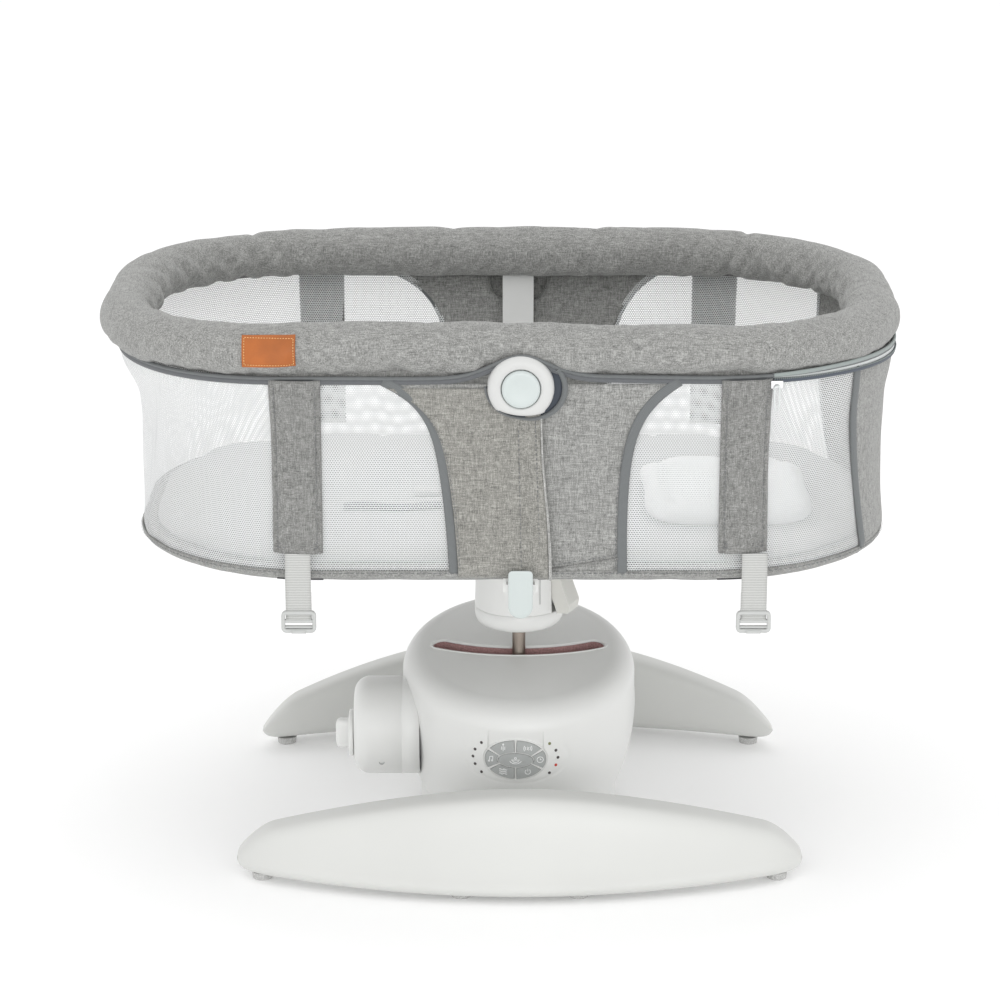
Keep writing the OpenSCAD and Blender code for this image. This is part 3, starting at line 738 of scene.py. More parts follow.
def build_side_panel(side):
    rear = side == "rear"
    node = side + "_panel"
    h = WALL_TOP - WALL_LOW
    z0, z1 = WALL_LOW + 0.0005, WALL_TOP + 0.006
    base = wall_patch(node + "_cloth", panel_left, panel_right, z0, z1, 70, 60, 0.0008, 0.0, rear,
                      cloth_ripple(0.0014, 22, 3.0))
    dress(solid(base, 0.0016, 0), HEATHER, "bassinet", "heather_fabric", node)
    # lower hem of the right half, which rises towards its edge
    q = np.linspace(flap_edge(0), panel_right(0.05) - 0.004, 50)
    rise = WALL_LOW + 0.0125 + 0.0110 * np.linspace(0, 1, 50)
    hem = sweep(side + "_panel_hem", *mirrored(wall_line(q, rise, 0.0024), rear),
                tape_profile(0.0016, 0.0012, 0.0003))
    dress(hem, HEATHER_DARK, "bassinet", "heather_fabric")
    edges = join(side + "_panel_binding", [dress_only(edge_binding("b", panel_left, rear=rear), BINDING),
                                           dress_only(edge_binding("b", panel_right, rear=rear),
                                                      BINDING)])
    dress(edges, None, "bassinet", "zip_tape")

    def swell(q, z, s, t):
        fold = 0.0028 * s ** 8 + 0.0040 * (1 - t) ** 4 * s ** 3
        ridge = -0.0010 * np.exp(-((s - 0.80) / 0.02) ** 2) + 0.0010 * np.exp(-((s - 0.90) / 0.04) ** 2)
        return cloth_ripple(0.0016, 26, 8.0)(q, z, s, t) + fold + ridge

    flap = wall_patch(side + "_panel_flap", lambda t: panel_left(t) + 0.004, flap_edge, z0 + 0.003,
                      z1 - 0.004, 50, 60, 0.0030, 0.0, rear, swell)
    dress(solid(flap, 0.0018, 0), HEATHER_WARM, "bassinet", "heather_fabric")
    # raised roll along the flap's turned edge in the paler heather: a painted highlight on the fold
    t = np.linspace(0.02, 0.86, 60)
    place = np.array([flap_edge(k) + 0.0006 + 0.0014 * (1 - k) for k in t])
    path, normals = mirrored(wall_line(place, WALL_LOW + h * t, 0.0066 + 0.0030 * (1 - t) ** 4), rear)
    wide = 0.85 + 0.75 * (1 - t) ** 2
    fold = sweep(side + "_flap_fold", path, normals, tape_profile(0.0021, 0.0018, 0.0006), scale=wide)
    dress(fold, HEATHER_FOLD_HIGHLIGHT, "bassinet", "heather_fabric")
    low, top = WALL_LOW + 0.006, WALL_LOW + 0.80 * h
    rows = [line_on_wall("s", flap_edge(0) - 0.026, flap_edge(1) - 0.021, low, top, 0.0052, rear),
            line_on_wall("s", flap_edge(0) - 0.0075, flap_edge(1) - 0.005, low, WALL_LOW + 0.85 * h,
                         0.0064, rear),
            line_on_wall("s", flap_edge(0) + 0.004, panel_right(0) - 0.006, low + 0.011, low + 0.0215,
                         0.0030, rear)]
    for q_side, sign in ((panel_left, 1), (panel_right, -1)):
        t = np.linspace(0.06, 0.98, 90)
        edge = np.array([q_side(k) + sign * 0.0062 for k in t])
        out = 0.0052 if sign > 0 else 0.0026
        rows.append(stitches("s", *mirrored(wall_line(edge, WALL_LOW + h * t, out), rear)))
    seams = join(side + "_panel_stitches", [dress_only(r, THREAD_GREY) for r in rows])
    dress(seams, None, "bassinet", "zip_tape")


def dress_only(obj, material):
    obj.data.materials.append(material)
    return obj


def build_head_end():
    left, right = head_edge, lambda t: WALL.half - head_edge(t)
    z0, z1 = WALL_LOW + 0.0005, WALL_TOP + 0.006
    panel = wall_patch("head_end_cloth", left, right, z0, z1, 90, 50, 0.0008, 0.0, False,
                       cloth_ripple(0.0014, 20, 5.0))
    dress(solid(panel, 0.0016, 0), HEATHER, "bassinet", "heather_fabric", "head_end_panel")
    edges = join("head_end_binding", [dress_only(edge_binding("b", left), BINDING),
                                      dress_only(edge_binding("b", right), BINDING)])
    dress(edges, None, "bassinet", "zip_tape")


def build_straps():
    rows, half = [], STRAP_HALF
    sleeves = []
    for x in STRAP_X:
        for rear in (False, True):
            q = WALL.q_of(x)
            z0, z1 = STRAP_LOW, WALL_TOP + 0.010
            o = wall_patch("s", lambda t: q - half, lambda t: q + half, z0, z1, 22, 60, 0.0022, 0.0, rear,
                           lambda q, z, s, t: 0.0042 * (1 - np.abs(2 * s - 1) ** 5)
                           + cloth_ripple(0.0011, 40, 9.0 + x)(q, z, s, t)
                           - 0.0020 * np.exp(-((np.abs(2 * s - 1) - 0.80) / 0.06) ** 2)
                           - 0.0012 * np.exp(-((t - 0.045) / 0.02) ** 2))
            sleeves.append(dress_only(solid(o, 0.0022, 0), HEATHER_DARK))
            for d in (-0.0192, 0.0192):
                rows.append(line_on_wall("s", q + d, q + d, z0 + 0.004, z1 - 0.006, 0.0048, rear))
            for d in (0.006, 0.010):
                rows.append(line_on_wall("s", q - half + 0.004, q + half - 0.004, z0 + d, z0 + d, 0.0062,
                                         rear))
    cloth = join("strap_sleeve_cloth", sleeves)
    dress(cloth, None, "bassinet", "heather_fabric", "strap_sleeves")
    thread = join("strap_stitches", [dress_only(r, THREAD_GREY) for r in rows])
    dress(thread, None, "bassinet", "zip_tape")


def plan_rings(plan, levels, n=260):
    """Closed slab from (inset, z) rings of a plan outline, with flat ends."""
    q = np.linspace(-plan.half, plan.half, n, endpoint=False)
    x, y, nx, ny = plan.at(q)
    return np.stack([np.stack([x - nx * d, y - ny * d, np.full_like(x, z)], -1) for d, z in levels], 0)


def slab_piece(name, plan, levels, n=260):
    points = plan_rings(plan, levels, n)
    return tidy(grid(name, points, close_v=True, caps=True))


def build_floor():
    low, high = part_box("basket_bottom")
    r = FOOT_ROUND
    levels = [(r + 0.030, low.z), (r + 0.004, low.z), (r - 0.004, low.z + 0.0006),
              (r - 0.009, low.z + 0.003), (r - 0.010, high.z), (r + 0.002, high.z + 0.0002),
              (r + 0.03, high.z + 0.0002)]
    floor = slab_piece("basket_floor_cloth", WALL, levels)
    dress(floor, HEATHER, "bassinet", "heather_fabric", "basket_bottom")
    # heather band that joins the net to the floor
    n = 420
    q = np.linspace(-WALL.half, WALL.half, n, endpoint=False)
    rows = []
    for t in np.linspace(0, 1, 7):
        z = WALL_LOW - 0.002 + 0.0125 * t
        out = 0.0016 + 0.0012 * math.sin(math.pi * t)
        wobble = np.array([0.0008 * rubble((a * 1.0, t, 0.0), 30, 2.0) for a in q])
        rows.append(wall_point(q, z + wobble, out + wobble))
    band = grid("floor_band", np.stack(rows, 0), close_v=True)
    dress(solid(band, 0.0016, 0), HEATHER, "bassinet", "heather_fabric")
    path, normals = wall_line(np.append(q, q[0]), np.full(n + 1, WALL_LOW + 0.0085), 0.0036)
    dress(stitches("floor_band_stitches", path, normals, 0.0034, 0.0020), THREAD_GREY, "bassinet",
          "zip_tape")
    clips = []
    for x in STRAP_X:
        for rear in (False, True):
            a = np.linspace(WALL.q_of(x) - STRAP_HALF, WALL.q_of(x) + STRAP_HALF, 14)
            path, normals = mirrored(wall_line(a, np.full(14, WALL_LOW + 0.0005), 0.0008), rear)
            clips.append(dress_only(sweep("c", path, normals, tape_profile(0.0042, 0.0034, 0.0005)),
                                    BLACK))
    dress(join("floor_clips", clips), None, "bassinet", "black_plastic")


# ---------------------------------------------------------------- padded rim
def bumper_offset(z):
    """How far out from the rim centreline the padded tube reaches at a height."""
    return math.sqrt(max(0.0, RIM_R ** 2 - (z - RIM_Z) ** 2))


def rim_bend(q):
    """How strongly the rim curves at a place: 1 in the corners and 0 on the straight runs."""
    a = abs(q)
    start, end = RIM.sx - 0.03, RIM.half - RIM.sx + 0.03
    return min(1.0, max(0.0, (a - start) / 0.08)) * min(1.0, max(0.0, (end - a) / 0.08))


def build_bumper():
    nu, nv = 520, 40
    q = np.linspace(-RIM.half, RIM.half, nu, endpoint=False)
    x, y, nx, ny = RIM.at(q)
    a = np.linspace(0, 2 * math.pi, nv, endpoint=False) - math.pi / 2
    r0 = RIM_R - 0.0015
    points = np.empty((nu, nv, 3))
    for i in range(nu):
        for j in range(nv):
            c, s = math.cos(a[j]), math.sin(a[j])
            p = (x[i] + nx[i] * c * r0, y[i] + ny[i] * c * r0, RIM_Z + s * r0)
            swell = 0.0016 * rubble(p, 16, 1.0) + 0.0009 * rubble(p, 38, 4.0)
            inner = max(0.0, 0.25 - c * 0.8 - s * 0.35)
            twist = 5 * rubble((q[i], a[j] * 0.05, 0.0), 7, 2.0) + 2.6 * a[j]
            bend = rim_bend(q[i])
            pucker = math.sin(q[i] * 150 + twist) + 0.5 * math.sin(q[i] * 260 - 1.7 * twist)
            uneven = 0.55 + 0.45 * rubble((q[i], 0.3, 0.0), 10, 6.0)
            fold = (0.0007 + 0.0020 * bend) * inner * pucker * uneven
            sag = 0.0030 * bend * max(0.0, -s) * rubble(p, 9, 5.0)
            r = r0 + swell + fold + sag
            points[i, j] = (x[i] + nx[i] * c * r, y[i] + ny[i] * c * r, RIM_Z + s * r)
    bumper = grid("rim_bumper_cloth", points, close_u=True, close_v=True)
    tidy(bumper)
    puff(bumper, cap=0.005, pressure=3.5, grow=0.035, pinned=lambda p: p.z < RIM_Z - RIM_R * 0.86,
         frames=18)
    corner = RIM.half - RIM.sx
    seams = [RIM.at(place) for place in (0.075 - corner, corner - 0.060)]
    for v in bumper.data.vertices:
        p = v.co
        if abs(p.x - MAST) < 0.05 and p.z < RIM_Z + 0.012 and abs(p.y) > RIM_HY:
            near = max(0.0, 1 - (math.hypot(p.x - MAST, p.z - HUB_Z) / 0.046) ** 2)
            p.y -= math.copysign(0.006 * near ** 0.6, p.y)
        for sx, sy, nx, ny in seams:
            away = math.hypot(p.x - sx, p.y - sy)
            along = (p.x - sx) * -ny + (p.y - sy) * nx + 0.010 * math.sin((p.z - RIM_Z) * 45)
            if away < RIM_R * 1.5:
                axis = Vector((sx, sy, RIM_Z))
                v.co = p - (p - axis).normalized() * 0.0036 * math.exp(-(along / 0.0045) ** 2)
    subdivide(bumper)
    dress(bumper, HEATHER, "bassinet", "heather_fabric", "rim_bumper")
    bpy.context.view_layer.update()
    return bumper


def rim_front(bumper, x, z):
    """Depth of the padded rim's front face at a place."""
    hit, spot, _, _ = bumper.ray_cast((x, -1.0, z), (0, 1, 0))
    return spot.y if hit else -RIM_HY - math.sqrt(max(0.0, RIM_R ** 2 - (z - RIM_Z) ** 2))


def puff(obj, cap, pressure=4.0, grow=0.0, pinned=None, frames=20):
    """Blows a closed piece of cloth up a little by simulation and keeps each point near its start."""
    scene = bpy.context.scene
    start = np.array([v.co for v in obj.data.vertices], float)
    cloth = obj.modifiers.new("Cloth", "CLOTH")
    s = cloth.settings
    s.quality = 6
    s.use_pressure = True
    s.uniform_pressure_force = pressure
    s.tension_stiffness = s.compression_stiffness = 12
    s.shear_stiffness = 6
    s.bending_stiffness = 0.4
    s.shrink_min = -grow
    s.effector_weights.gravity = 0
    cloth.collision_settings.use_collision = False
    if pinned:
        group = obj.vertex_groups.new(name="pin")
        group.add([v.index for v in obj.data.vertices if pinned(v.co)], 1.0, "REPLACE")
        s.vertex_group_mass = "pin"
    cloth.point_cache.frame_start = 1
    cloth.point_cache.frame_end = frames
    for f in range(1, frames + 1):
        scene.frame_set(f)
    graph = bpy.context.evaluated_depsgraph_get()
    posed = np.array([v.co for v in obj.evaluated_get(graph).data.vertices], float)
    obj.modifiers.clear()
    obj.vertex_groups.clear()
    scene.frame_set(1)
    move = posed - start
    move[~np.isfinite(move).all(1)] = 0
    size = np.linalg.norm(move, axis=1, keepdims=True)
    posed = start + move * np.minimum(1, cap / np.maximum(size, 1e-9))
    obj.data.vertices.foreach_set("co", posed.ravel())
    obj.data.update()
    return obj


def band_line(q, arch=True):
    """Points and outward normals of the piping under the padded rim; it arches over the hubs."""
    x, y, nx, ny = BAND.at(q)
    dx = x - MAST
    flat = (np.abs(ny) > 0.99) & (np.abs(dx) < 0.1)
    rise = np.where(flat, 0.0220 * np.exp(-(dx / 0.038) ** 2), 0.0) if arch else np.zeros_like(x)
    wave = 0.0016 * np.sin(q * 6.0 + 0.8) + 0.0006 * np.sin(q * 23) + 0.0012
    z = ZIP_Z + 0.0035 + rise + wave
    reach = np.array([max(0.0, RIM_HY + bumper_offset(k) - BAND.hy) for k in z])
    out = np.where(flat & (rise > 0.0005), reach, 0.0)
    return np.stack([x + nx * out, y + ny * out, z], -1), np.stack([nx, ny, np.zeros_like(nx)], -1)


def build_zip():
    n = 700
    q = np.linspace(-BAND.half, BAND.half, n, endpoint=False)
    path, normals = band_line(q)
    up = np.array([0, 0, 1.0])
    tape = sweep("zip_tape", path + normals * 0.0010 - up * 0.0016, normals,
                 tape_profile(0.0058, 0.0018, 0.0009, 9), closed=True)
    dress(tape, ZIP_TAPE, "bassinet", "zip_tape", "zip_band")
    backing = sweep("zip_backing", path - normals * 0.0030 + up * 0.0040, normals,
                    tape_profile(0.0150, 0.0016, 0.0004), closed=True)
    dress(backing, HEATHER_DARK, "bassinet", "heather_fabric")
    cover = sweep("zip_cover", path + normals * 0.0020 + up * 0.0020, normals,
                  tape_profile(0.0034, 0.0022, 0.0014, 9), closed=True)
    dress(cover, BINDING, "bassinet", "zip_tape")
    # the open run of the zip round the head end: the two edges part and white tape shows between them
    q = np.linspace(BAND.q_of(0.262), BAND.half - BAND.q_of(0.30), 460)
    path, normals = band_line(q, arch=False)
    t = np.linspace(0, 1, len(q))
    gap = 0.0052 * np.sin(math.pi * t) ** 0.7
    up = np.array([0, 0, 1.0])
    white = sweep("zip_inner_tape", path + normals * 0.0022, normals,
                  tape_profile(0.0062, 0.0014, 0.0004), scale=0.35 + gap / 0.0052)
    dress(white, ZIP_WHITE, "bassinet", "zip_tape")
    upper = sweep("zip_upper_edge", path + normals * 0.0034 + up * (0.0022 + 0.55 * gap)[:, None],
                  normals, tape_profile(0.0038, 0.0018, 0.0006))
    dress(upper, ZIP_GREEN, "bassinet", "zip_tape")
    lower = sweep("zip_lower_edge", path + normals * 0.0034 - up * (0.0028 + 0.55 * gap)[:, None],
                  normals, tape_profile(0.0040, 0.0018, 0.0006))
    dress(lower, NAVY_TAPE, "bassinet", "zip_tape")
    teeth = stitches("zip_teeth", path + normals * 0.0044 - up * (0.0008 + 0.55 * gap)[:, None], normals,
                     0.0012, 0.0009, 0.0011)
    dress(teeth, ZIP_GREEN, "bassinet", "zip_tape")


def build_slider():
    body = rounded_box("zip_slider_body", *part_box("zip_slider"), 0.0009)
    dress(body, BRIGHT, "bassinet", "bright_steel", "zip_slider")
    low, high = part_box("zip_pull")
    x = (low.x + high.x) / 2
    top = Vector((x, high.y - 0.0009, high.z - 0.002))
    loop = smooth_line([(0, 0), (0.0022, -0.002), (0.0025, -0.010), (0.0019, -0.021), (0, -0.0235),
                        (-0.0019, -0.021), (-0.0025, -0.010), (-0.0022, -0.002)], 48, closed=True)
    path = np.stack([top.x + loop[:, 0], np.full(48, top.y), top.z + loop[:, 1]], -1)
    pull = sweep("zip_pull_loop", path, np.tile([0, -1, 0], (48, 1)),
                 tape_profile(0.0016, 0.0014, 0.0002), closed=True)
    dress(pull, ZIP_WHITE, "zip_pull", "zip_tape", "zip_pull")


def rounded_box(name, low, high, radius, segments=3):
    """A box with rounded edges."""
    bm = bmesh.new()
    bmesh.ops.create_cube(bm, size=1)
    for v in bm.verts:
        v.co = Vector([(low[k] + high[k]) / 2 + v.co[k] * (high[k] - low[k]) for k in range(3)])
    bmesh.ops.bevel(bm, geom=bm.edges[:], offset=radius, segments=segments, profile=0.7, affect="EDGES")
    mesh = bpy.data.meshes.new(name)
    bm.to_mesh(mesh)
    bm.free()
    mesh.polygons.foreach_set("use_smooth", [True] * len(mesh.polygons))
    obj = bpy.data.objects.new(name, mesh)
    bpy.context.scene.collection.objects.link(obj)
    return obj


def build_tag(bumper):
    low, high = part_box("leather_tag")
    nu, nv = 40, 24
    t = np.linspace(0, 1, nu)
    z = np.linspace(low.z + 0.0005, high.z - 0.0005, nv)
    pts = np.empty((nu, nv, 3))
    for i in range(nu):
        for j in range(nv):
            zz = z[j] + 0.0012 * (t[i] - 0.5)
            xx = low.x + 0.0004 + (high.x - low.x - 0.0008) * t[i]
            pts[i, j] = (xx, rim_front(bumper, xx, zz) - 0.0006, zz)
    tag = grid("leather_tag_patch", pts)
    solid(tag, 0.0014, 1)
    modify(tag, "BEVEL", width=0.0004, segments=2)
    apply_all(tag)
    dress(tag, LEATHER, "bassinet", "tan_leather", "leather_tag")
    inset = 0.0024
    xa, xb, za, zb = low.x + inset, high.x - inset, low.z + inset, high.z - inset
    rows = []
    for (x0, z0), (x1, z1) in (((xa, za), (xb, za)), ((xb, za), (xb, zb)), ((xb, zb), (xa, zb)),
                               ((xa, zb), (xa, za))):
        xs, zs = np.linspace(x0, x1, 40), np.linspace(z0, z1, 40)
        face = np.array([rim_front(bumper, x, z) for x, z in zip(xs, zs)])
        path = np.stack([xs, face - 0.0022, zs], -1)
        normals = np.stack([np.zeros(40), face + RIM_HY, zs - RIM_Z], -1)
        rows.append(stitches("s", path, normals, 0.0016, 0.0010, 0.0005))
    thread = join("leather_tag_stitches", rows)
    dress(thread, THREAD_TAN, "bassinet", "tan_leather")


# ---------------------------------------------------------------- mattress and pillow
def remesh(obj, size):
    modify(obj, "REMESH", mode="VOXEL", voxel_size=size, use_smooth_shade=True)
    return apply_all(obj)


def padded_slab(name, plan, low, high, size, round_edge, sink=0.0):
    r = round_edge
    rings = [(sink + r - r * math.sin(a), low + r - r * math.cos(a))
             for a in np.linspace(0.2, math.pi / 2, 6)]
    rings += [(sink + r - r * math.cos(a), high - r + r * math.sin(a))
              for a in np.linspace(0.0, math.pi / 2 - 0.2, 6)]
    obj = slab_piece(name, plan, rings, 200)
    return remesh(obj, size)


def build_mattress():
    low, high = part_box("mattress")
    plan = Plan((low.x + high.x) / 2, (high.x - low.x) / 2, high.y, WALL_RC - 0.008)
    pad = padded_slab("mattress_pad", plan, low.z + 0.0015, high.z - 0.002, 0.006, 0.006, 0.002)
    puff(pad, 0.005, 4.0, 0.01, pinned=lambda p: p.z < low.z + 0.003)
    subdivide(pad)
    for v in pad.data.vertices:
        p = v.co
        if p.z > (low.z + high.z) / 2:
            p.z += 0.0012 * rubble(p, 14, 2.0)
            for line in (-0.13, 0.02, 0.17):
                p.z -= 0.0022 * math.exp(-((p.x - line) / 0.004) ** 2)
            p.z = min(p.z, high.z + 0.0002)
    dress(pad, MATTRESS, "bassinet", "mattress_cloth", "mattress")


def build_pillow():
    low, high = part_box("head_pillow")
    cx, cy = (low.x + high.x) / 2, (low.y + high.y) / 2
    plan = Plan(cx, (high.x - low.x) / 2 - 0.003, (high.y - low.y) / 2 - 0.003, 0.050)
    pad = padded_slab("head_pillow_pad", plan, low.z + 0.001, high.z - 0.004, 0.005, 0.010, 0.002)
    for v in pad.data.vertices:
        v.co.y += cy
    puff(pad, 0.006, 4.0, 0.01, pinned=lambda p: p.z < low.z + 0.003)
    subdivide(pad)
    hx, hy = (high.x - low.x) / 2, (high.y - low.y) / 2
    for v in pad.data.vertices:
        p = v.co
        if p.z > (low.z + high.z) / 2:
            u = (abs((p.x - cx) / (hx - 0.028)) ** 4 + abs((p.y - cy) / (hy - 0.028)) ** 4) ** 0.25
            bowl = 1 / (1 + math.exp((u - 1.0) / 0.045))
            p.z -= 0.0115 * bowl
            p.z += 0.0010 * rubble(p, 30, 7.0)
            p.z -= 0.0012 * math.exp(-((u - 1.06) / 0.02) ** 2)
    dress(pad, PILLOW, "bassinet", "pillow_cloth", "head_pillow")


def build_harness():
    """Dark strap with a small buckle that lies across the mattress at its foot end."""
    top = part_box("mattress")[1].z
    pts = [(-0.160, -0.082), (-0.135, -0.0810), (-0.105, -0.083), (-0.080, -0.080), (-0.060, -0.078)]
    line = smooth_line(pts, 60)
    path = np.column_stack([line, top + 0.0022 + 0.0010 * np.sin(np.linspace(0, 9, 60))])
    strap = sweep("waist_strap", path, np.tile([0, 0, 1], (60, 1)), tape_profile(0.020, 0.0014, 0.0002))
    dress(strap, STRAP_DARK, "bassinet", "zip_tape")
    at = Vector((-0.076, -0.030, top + 0.0035))
    body = rounded_box("waist_buckle", at - Vector((0.013, 0.010, 0.003)),
                       at + Vector((0.013, 0.010, 0.003)), 0.0022)
    dress(body, BUCKLE, "bassinet", "buckle_plastic")


# ---------------------------------------------------------------- hanging tails
def build_tail(side):
    low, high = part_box("webbing_" + side)
    x = (low.x + high.x) / 2
    blow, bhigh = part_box("buckle_" + side)
    y = (low.y + high.y) / 2
    bar = blow.z + 0.0115
    z = np.linspace(STRAP_LOW + 0.0005, bar + 0.004, 46)
    front = np.column_stack([np.full(46, x), y - 0.0012 + 0.0010 * np.sin((z - z[0]) * 60), z])
    turn = [(x, y - 0.0022 * math.cos(a) + 0.0008, bar + 0.0022 - 0.0030 * math.sin(a))
            for a in np.linspace(0.2, math.pi - 0.2, 9)]
    back_z = np.linspace(bar + 0.005, bar + 0.028, 14)
    back = np.column_stack([np.full(14, x), np.full(14, y + 0.0028), back_z])
    path = np.concatenate([front, np.array(turn), back])
    steps = np.gradient(path, axis=0)
    normals = np.cross(steps, np.tile([-1.0, 0, 0], (len(path), 1)))
    tape = sweep("webbing_tail_" + side, path, normals,
                 tape_profile(span("webbing_" + side).x, 0.0012, 0.0002))
    dress(tape, WEBBING, side + "_tail", "white_webbing", "webbing_" + side)
    w, h = (bhigh.x - blow.x) / 2, (bhigh.z - blow.z) / 2
    cz = (blow.z + bhigh.z) / 2
    by = (blow.y + bhigh.y) / 2 - 0.0012
    ring = []
    for sx, sz, a0 in ((1, 1, 0), (-1, 1, 90), (-1, -1, 180), (1, -1, 270)):
        ring += [(x + sx * (w - 0.0050) + 0.0032 * math.cos(math.radians(a)), by,
                  cz + sz * (h - 0.0050) + 0.0032 * math.sin(math.radians(a)))
                  for a in range(a0, a0 + 91, 18)]
    frame_piece = sweep("r", np.array(ring), np.tile([0, -1, 0], (len(ring), 1)),
                        tape_profile(0.0036, 0.0040, 0.0008), closed=True)
    parts = [dress_only(frame_piece, BUCKLE)]
    for dz, t in ((0.0005, 0.0030), (-0.0055, 0.0022)):
        a = np.linspace(x - w + 0.003, x + w - 0.003, 12)
        p = np.column_stack([a, np.full(12, by + 0.0004), np.full(12, cz + dz)])
        parts.append(dress_only(sweep("r", p, np.tile([0, -1, 0], (12, 1)),
                                      tape_profile(t, 0.0032, 0.0006)), BUCKLE))
    lip = np.linspace(x - 0.007, x + 0.007, 12)
    p = np.column_stack([lip, np.full(12, by - 0.0014), np.full(12, blow.z + 0.0012)])
    parts.append(dress_only(sweep("r", p, np.tile([0, -1, 0], (12, 1)),
                                  tape_profile(0.0030, 0.0036, 0.0008)), BUCKLE))
    dress(join("tail_buckle_" + side, parts), None, side + "_tail", "buckle_plastic", "buckle_" + side)


# ---------------------------------------------------------------- hubs, neck and collar
def build_hub(side):
    s = -1 if side == "front" else 1
    low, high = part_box(side + "_hub")
    r = (high.x - low.x) / 2
    face = HUB_FACE
    back = min(abs(low.y), abs(high.y))
    seat = span(side + "_hub_button").x / 2 + 0.0006
    outer = [(r, back), (r, face - 0.0052), (r - 0.0004, face - 0.0034), (r - 0.0015, face - 0.0018),
             (r - 0.0034, face - 0.0006),
             (r - 0.0062, face), (seat + 0.0016, face + 0.0002), (seat + 0.0004, face - 0.0004),
             (seat, face - 0.0014), (seat, face - 0.0076), (0.0, face - 0.0078)]
    hub = revolve(side + "_hub_disc", outer, (MAST, 0, HUB_Z), "Y", 128, s)
    for v in hub.data.vertices:
        d = v.co.z - HUB_Z
        if d < -0.022:
            v.co.z = HUB_Z - 0.022 + (d + 0.022) * 0.50 - 0.06 * (v.co.x - MAST)
    dress(hub, HUB_WHITE_PAINTED_SHADE, "bassinet", "white_plastic", side + "_hub")
    b = seat - 0.0006
    top = HUB_FACE + 0.0022
    rings = [(b, face - 0.0030), (b, top - 0.0022), (b - 0.0005, top - 0.0010),
             (b - 0.0016, top - 0.0002), (b - 0.0030, top),
             (b * 0.6, top - 0.0004), (b * 0.3, top - 0.0007), (0.0, top - 0.0008)]
    button = revolve(side + "_hub_cap", rings, (MAST, 0, HUB_Z), "Y", 128, s)
    dress(button, GLOSSY, side + "_hub_button", "button_plastic", side + "_hub_button")
    # pocket the hub sits in: a dark lining that opens wider on one side, with a sewn edge; where it narrows
    # round the left and lower side of the hub the dark band is painted shade in the gap
    a = np.linspace(math.radians(180), math.radians(390), 80)
    wide = np.clip(np.cos(a - math.radians(350)), 0, 1) ** 1.5
    rims = []
    for share in (-0.004, 0.0, 0.5, 1.0):
        grow = share if share < 0 else share * (0.0020 + 0.0085 * wide)
        dx, dz = (r + grow) * np.cos(a), (r * 0.90 + grow) * np.sin(a)
        depth = np.array([max(BAND.hy + 0.0026, RIM_HY + bumper_offset(HUB_Z + k) + 0.0006) for k in dz])
        rims.append(np.column_stack([MAST + dx, s * depth, HUB_Z + dz]))
    lining = grid(side + "_hub_lining", np.stack(rims, 0))
    dress(solid(lining, 0.0008, 0), NAVY_TAPE, "bassinet", "zip_tape")
    normals = np.tile([0, s, 0], (80, 1))
    edge = sweep(side + "_hub_pocket", rims[-1] + normals * 0.0012, normals,
                 tape_profile(0.0046, 0.0026, 0.0012), scale=0.45 + 0.75 * wide)
    dress(edge, BINDING, "bassinet", "zip_tape")


def build_neck():
    low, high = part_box("collar")
    r = (high.x - low.x) / 2
    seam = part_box("neck_shell")[0].z
    ring = [(0.0, low.z + 0.0006), (r * 0.45, low.z + 0.0004), (r * 0.72, low.z + 0.0010),
            (r * 0.86, low.z + 0.0030), (r * 0.94, low.z + 0.0058),
            (r * 0.985, low.z + 0.0095), (r, low.z + 0.0135), (r, seam - 0.0012),
            (r - 0.0006, seam - 0.0004),
            (r - 0.0022, seam - 0.0002), (0.030, seam - 0.0002), (0.0298, seam + 0.05),
            (0.0, seam + 0.05)]
    collar = revolve("neck_collar", ring, (MAST, 0, 0), "Z", 160)
    dress(collar, WHITE, "swing", "white_plastic", "collar")
    low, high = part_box("neck_shell")
    heights = np.linspace(low.z + 0.012, high.z - 0.006, 30)
    ang = math.radians(-62)
    across, along = math.cos(ang) * (r + 0.0001), math.sin(ang) * (r + 0.0001)
    path = np.column_stack([np.full(30, MAST + across), np.full(30, along), heights])
    facing = np.tile([math.cos(ang), math.sin(ang), 0], (30, 1))
    line = sweep("neck_seam", path, facing, tape_profile(0.0007, 0.0006, 0.0001))
    dress(line, SMOKE, "bassinet", "white_plastic")


def build_tab():
    low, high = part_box("release_tab")
    face = low.y
    half = (high.x - low.x) / 2
    nu, nv = 34, 26
    pts = np.empty((nu, nv, 3))
    z0, z1 = low.z, high.z
    for i in range(nu):
        z = z0 + (z1 - z0) * (1 - math.cos(math.pi * i / (nu - 1))) / 2
        d = z - z0
        w = half if d > half else math.sqrt(max(0.0, half ** 2 - (half - d) ** 2))
        w = min(w, half, math.sqrt(max(0.0, 0.004 ** 2 - max(0.0, z - z1 + 0.004) ** 2)) + half - 0.004)
        w = max(w, 0.0002)
        for j in range(nv):
            a = 2 * math.pi * j / nv
            c, s = math.cos(a), math.sin(a)
            x = math.copysign(abs(c) ** 0.55, c) * w
            upper = min(1.0, max(0.0, (z - 0.326) / (z1 - 0.326)))
            t = 0.003 * (1 - 0.6 * upper)
            y = math.copysign(abs(s) ** 0.6, s) * t * min(1.0, w / half + 0.15)
            pts[i, j] = (MAST + x, face + t + y, z)
    tab = grid("release_tongue", pts, close_v=True, caps=True)
    tidy(tab)
    boss = rounded_box("b", Vector((MAST - 0.009, face + 0.005, 0.319)),
                       Vector((MAST + 0.009, face + 0.018, 0.329)), 0.001)
    dress_only(tab, GLOSSY)
    dress_only(boss, GLOSSY)
    dress(join("release_tab_tongue", [tab, boss]), None, "release_tab", "button_plastic", "release_tab")


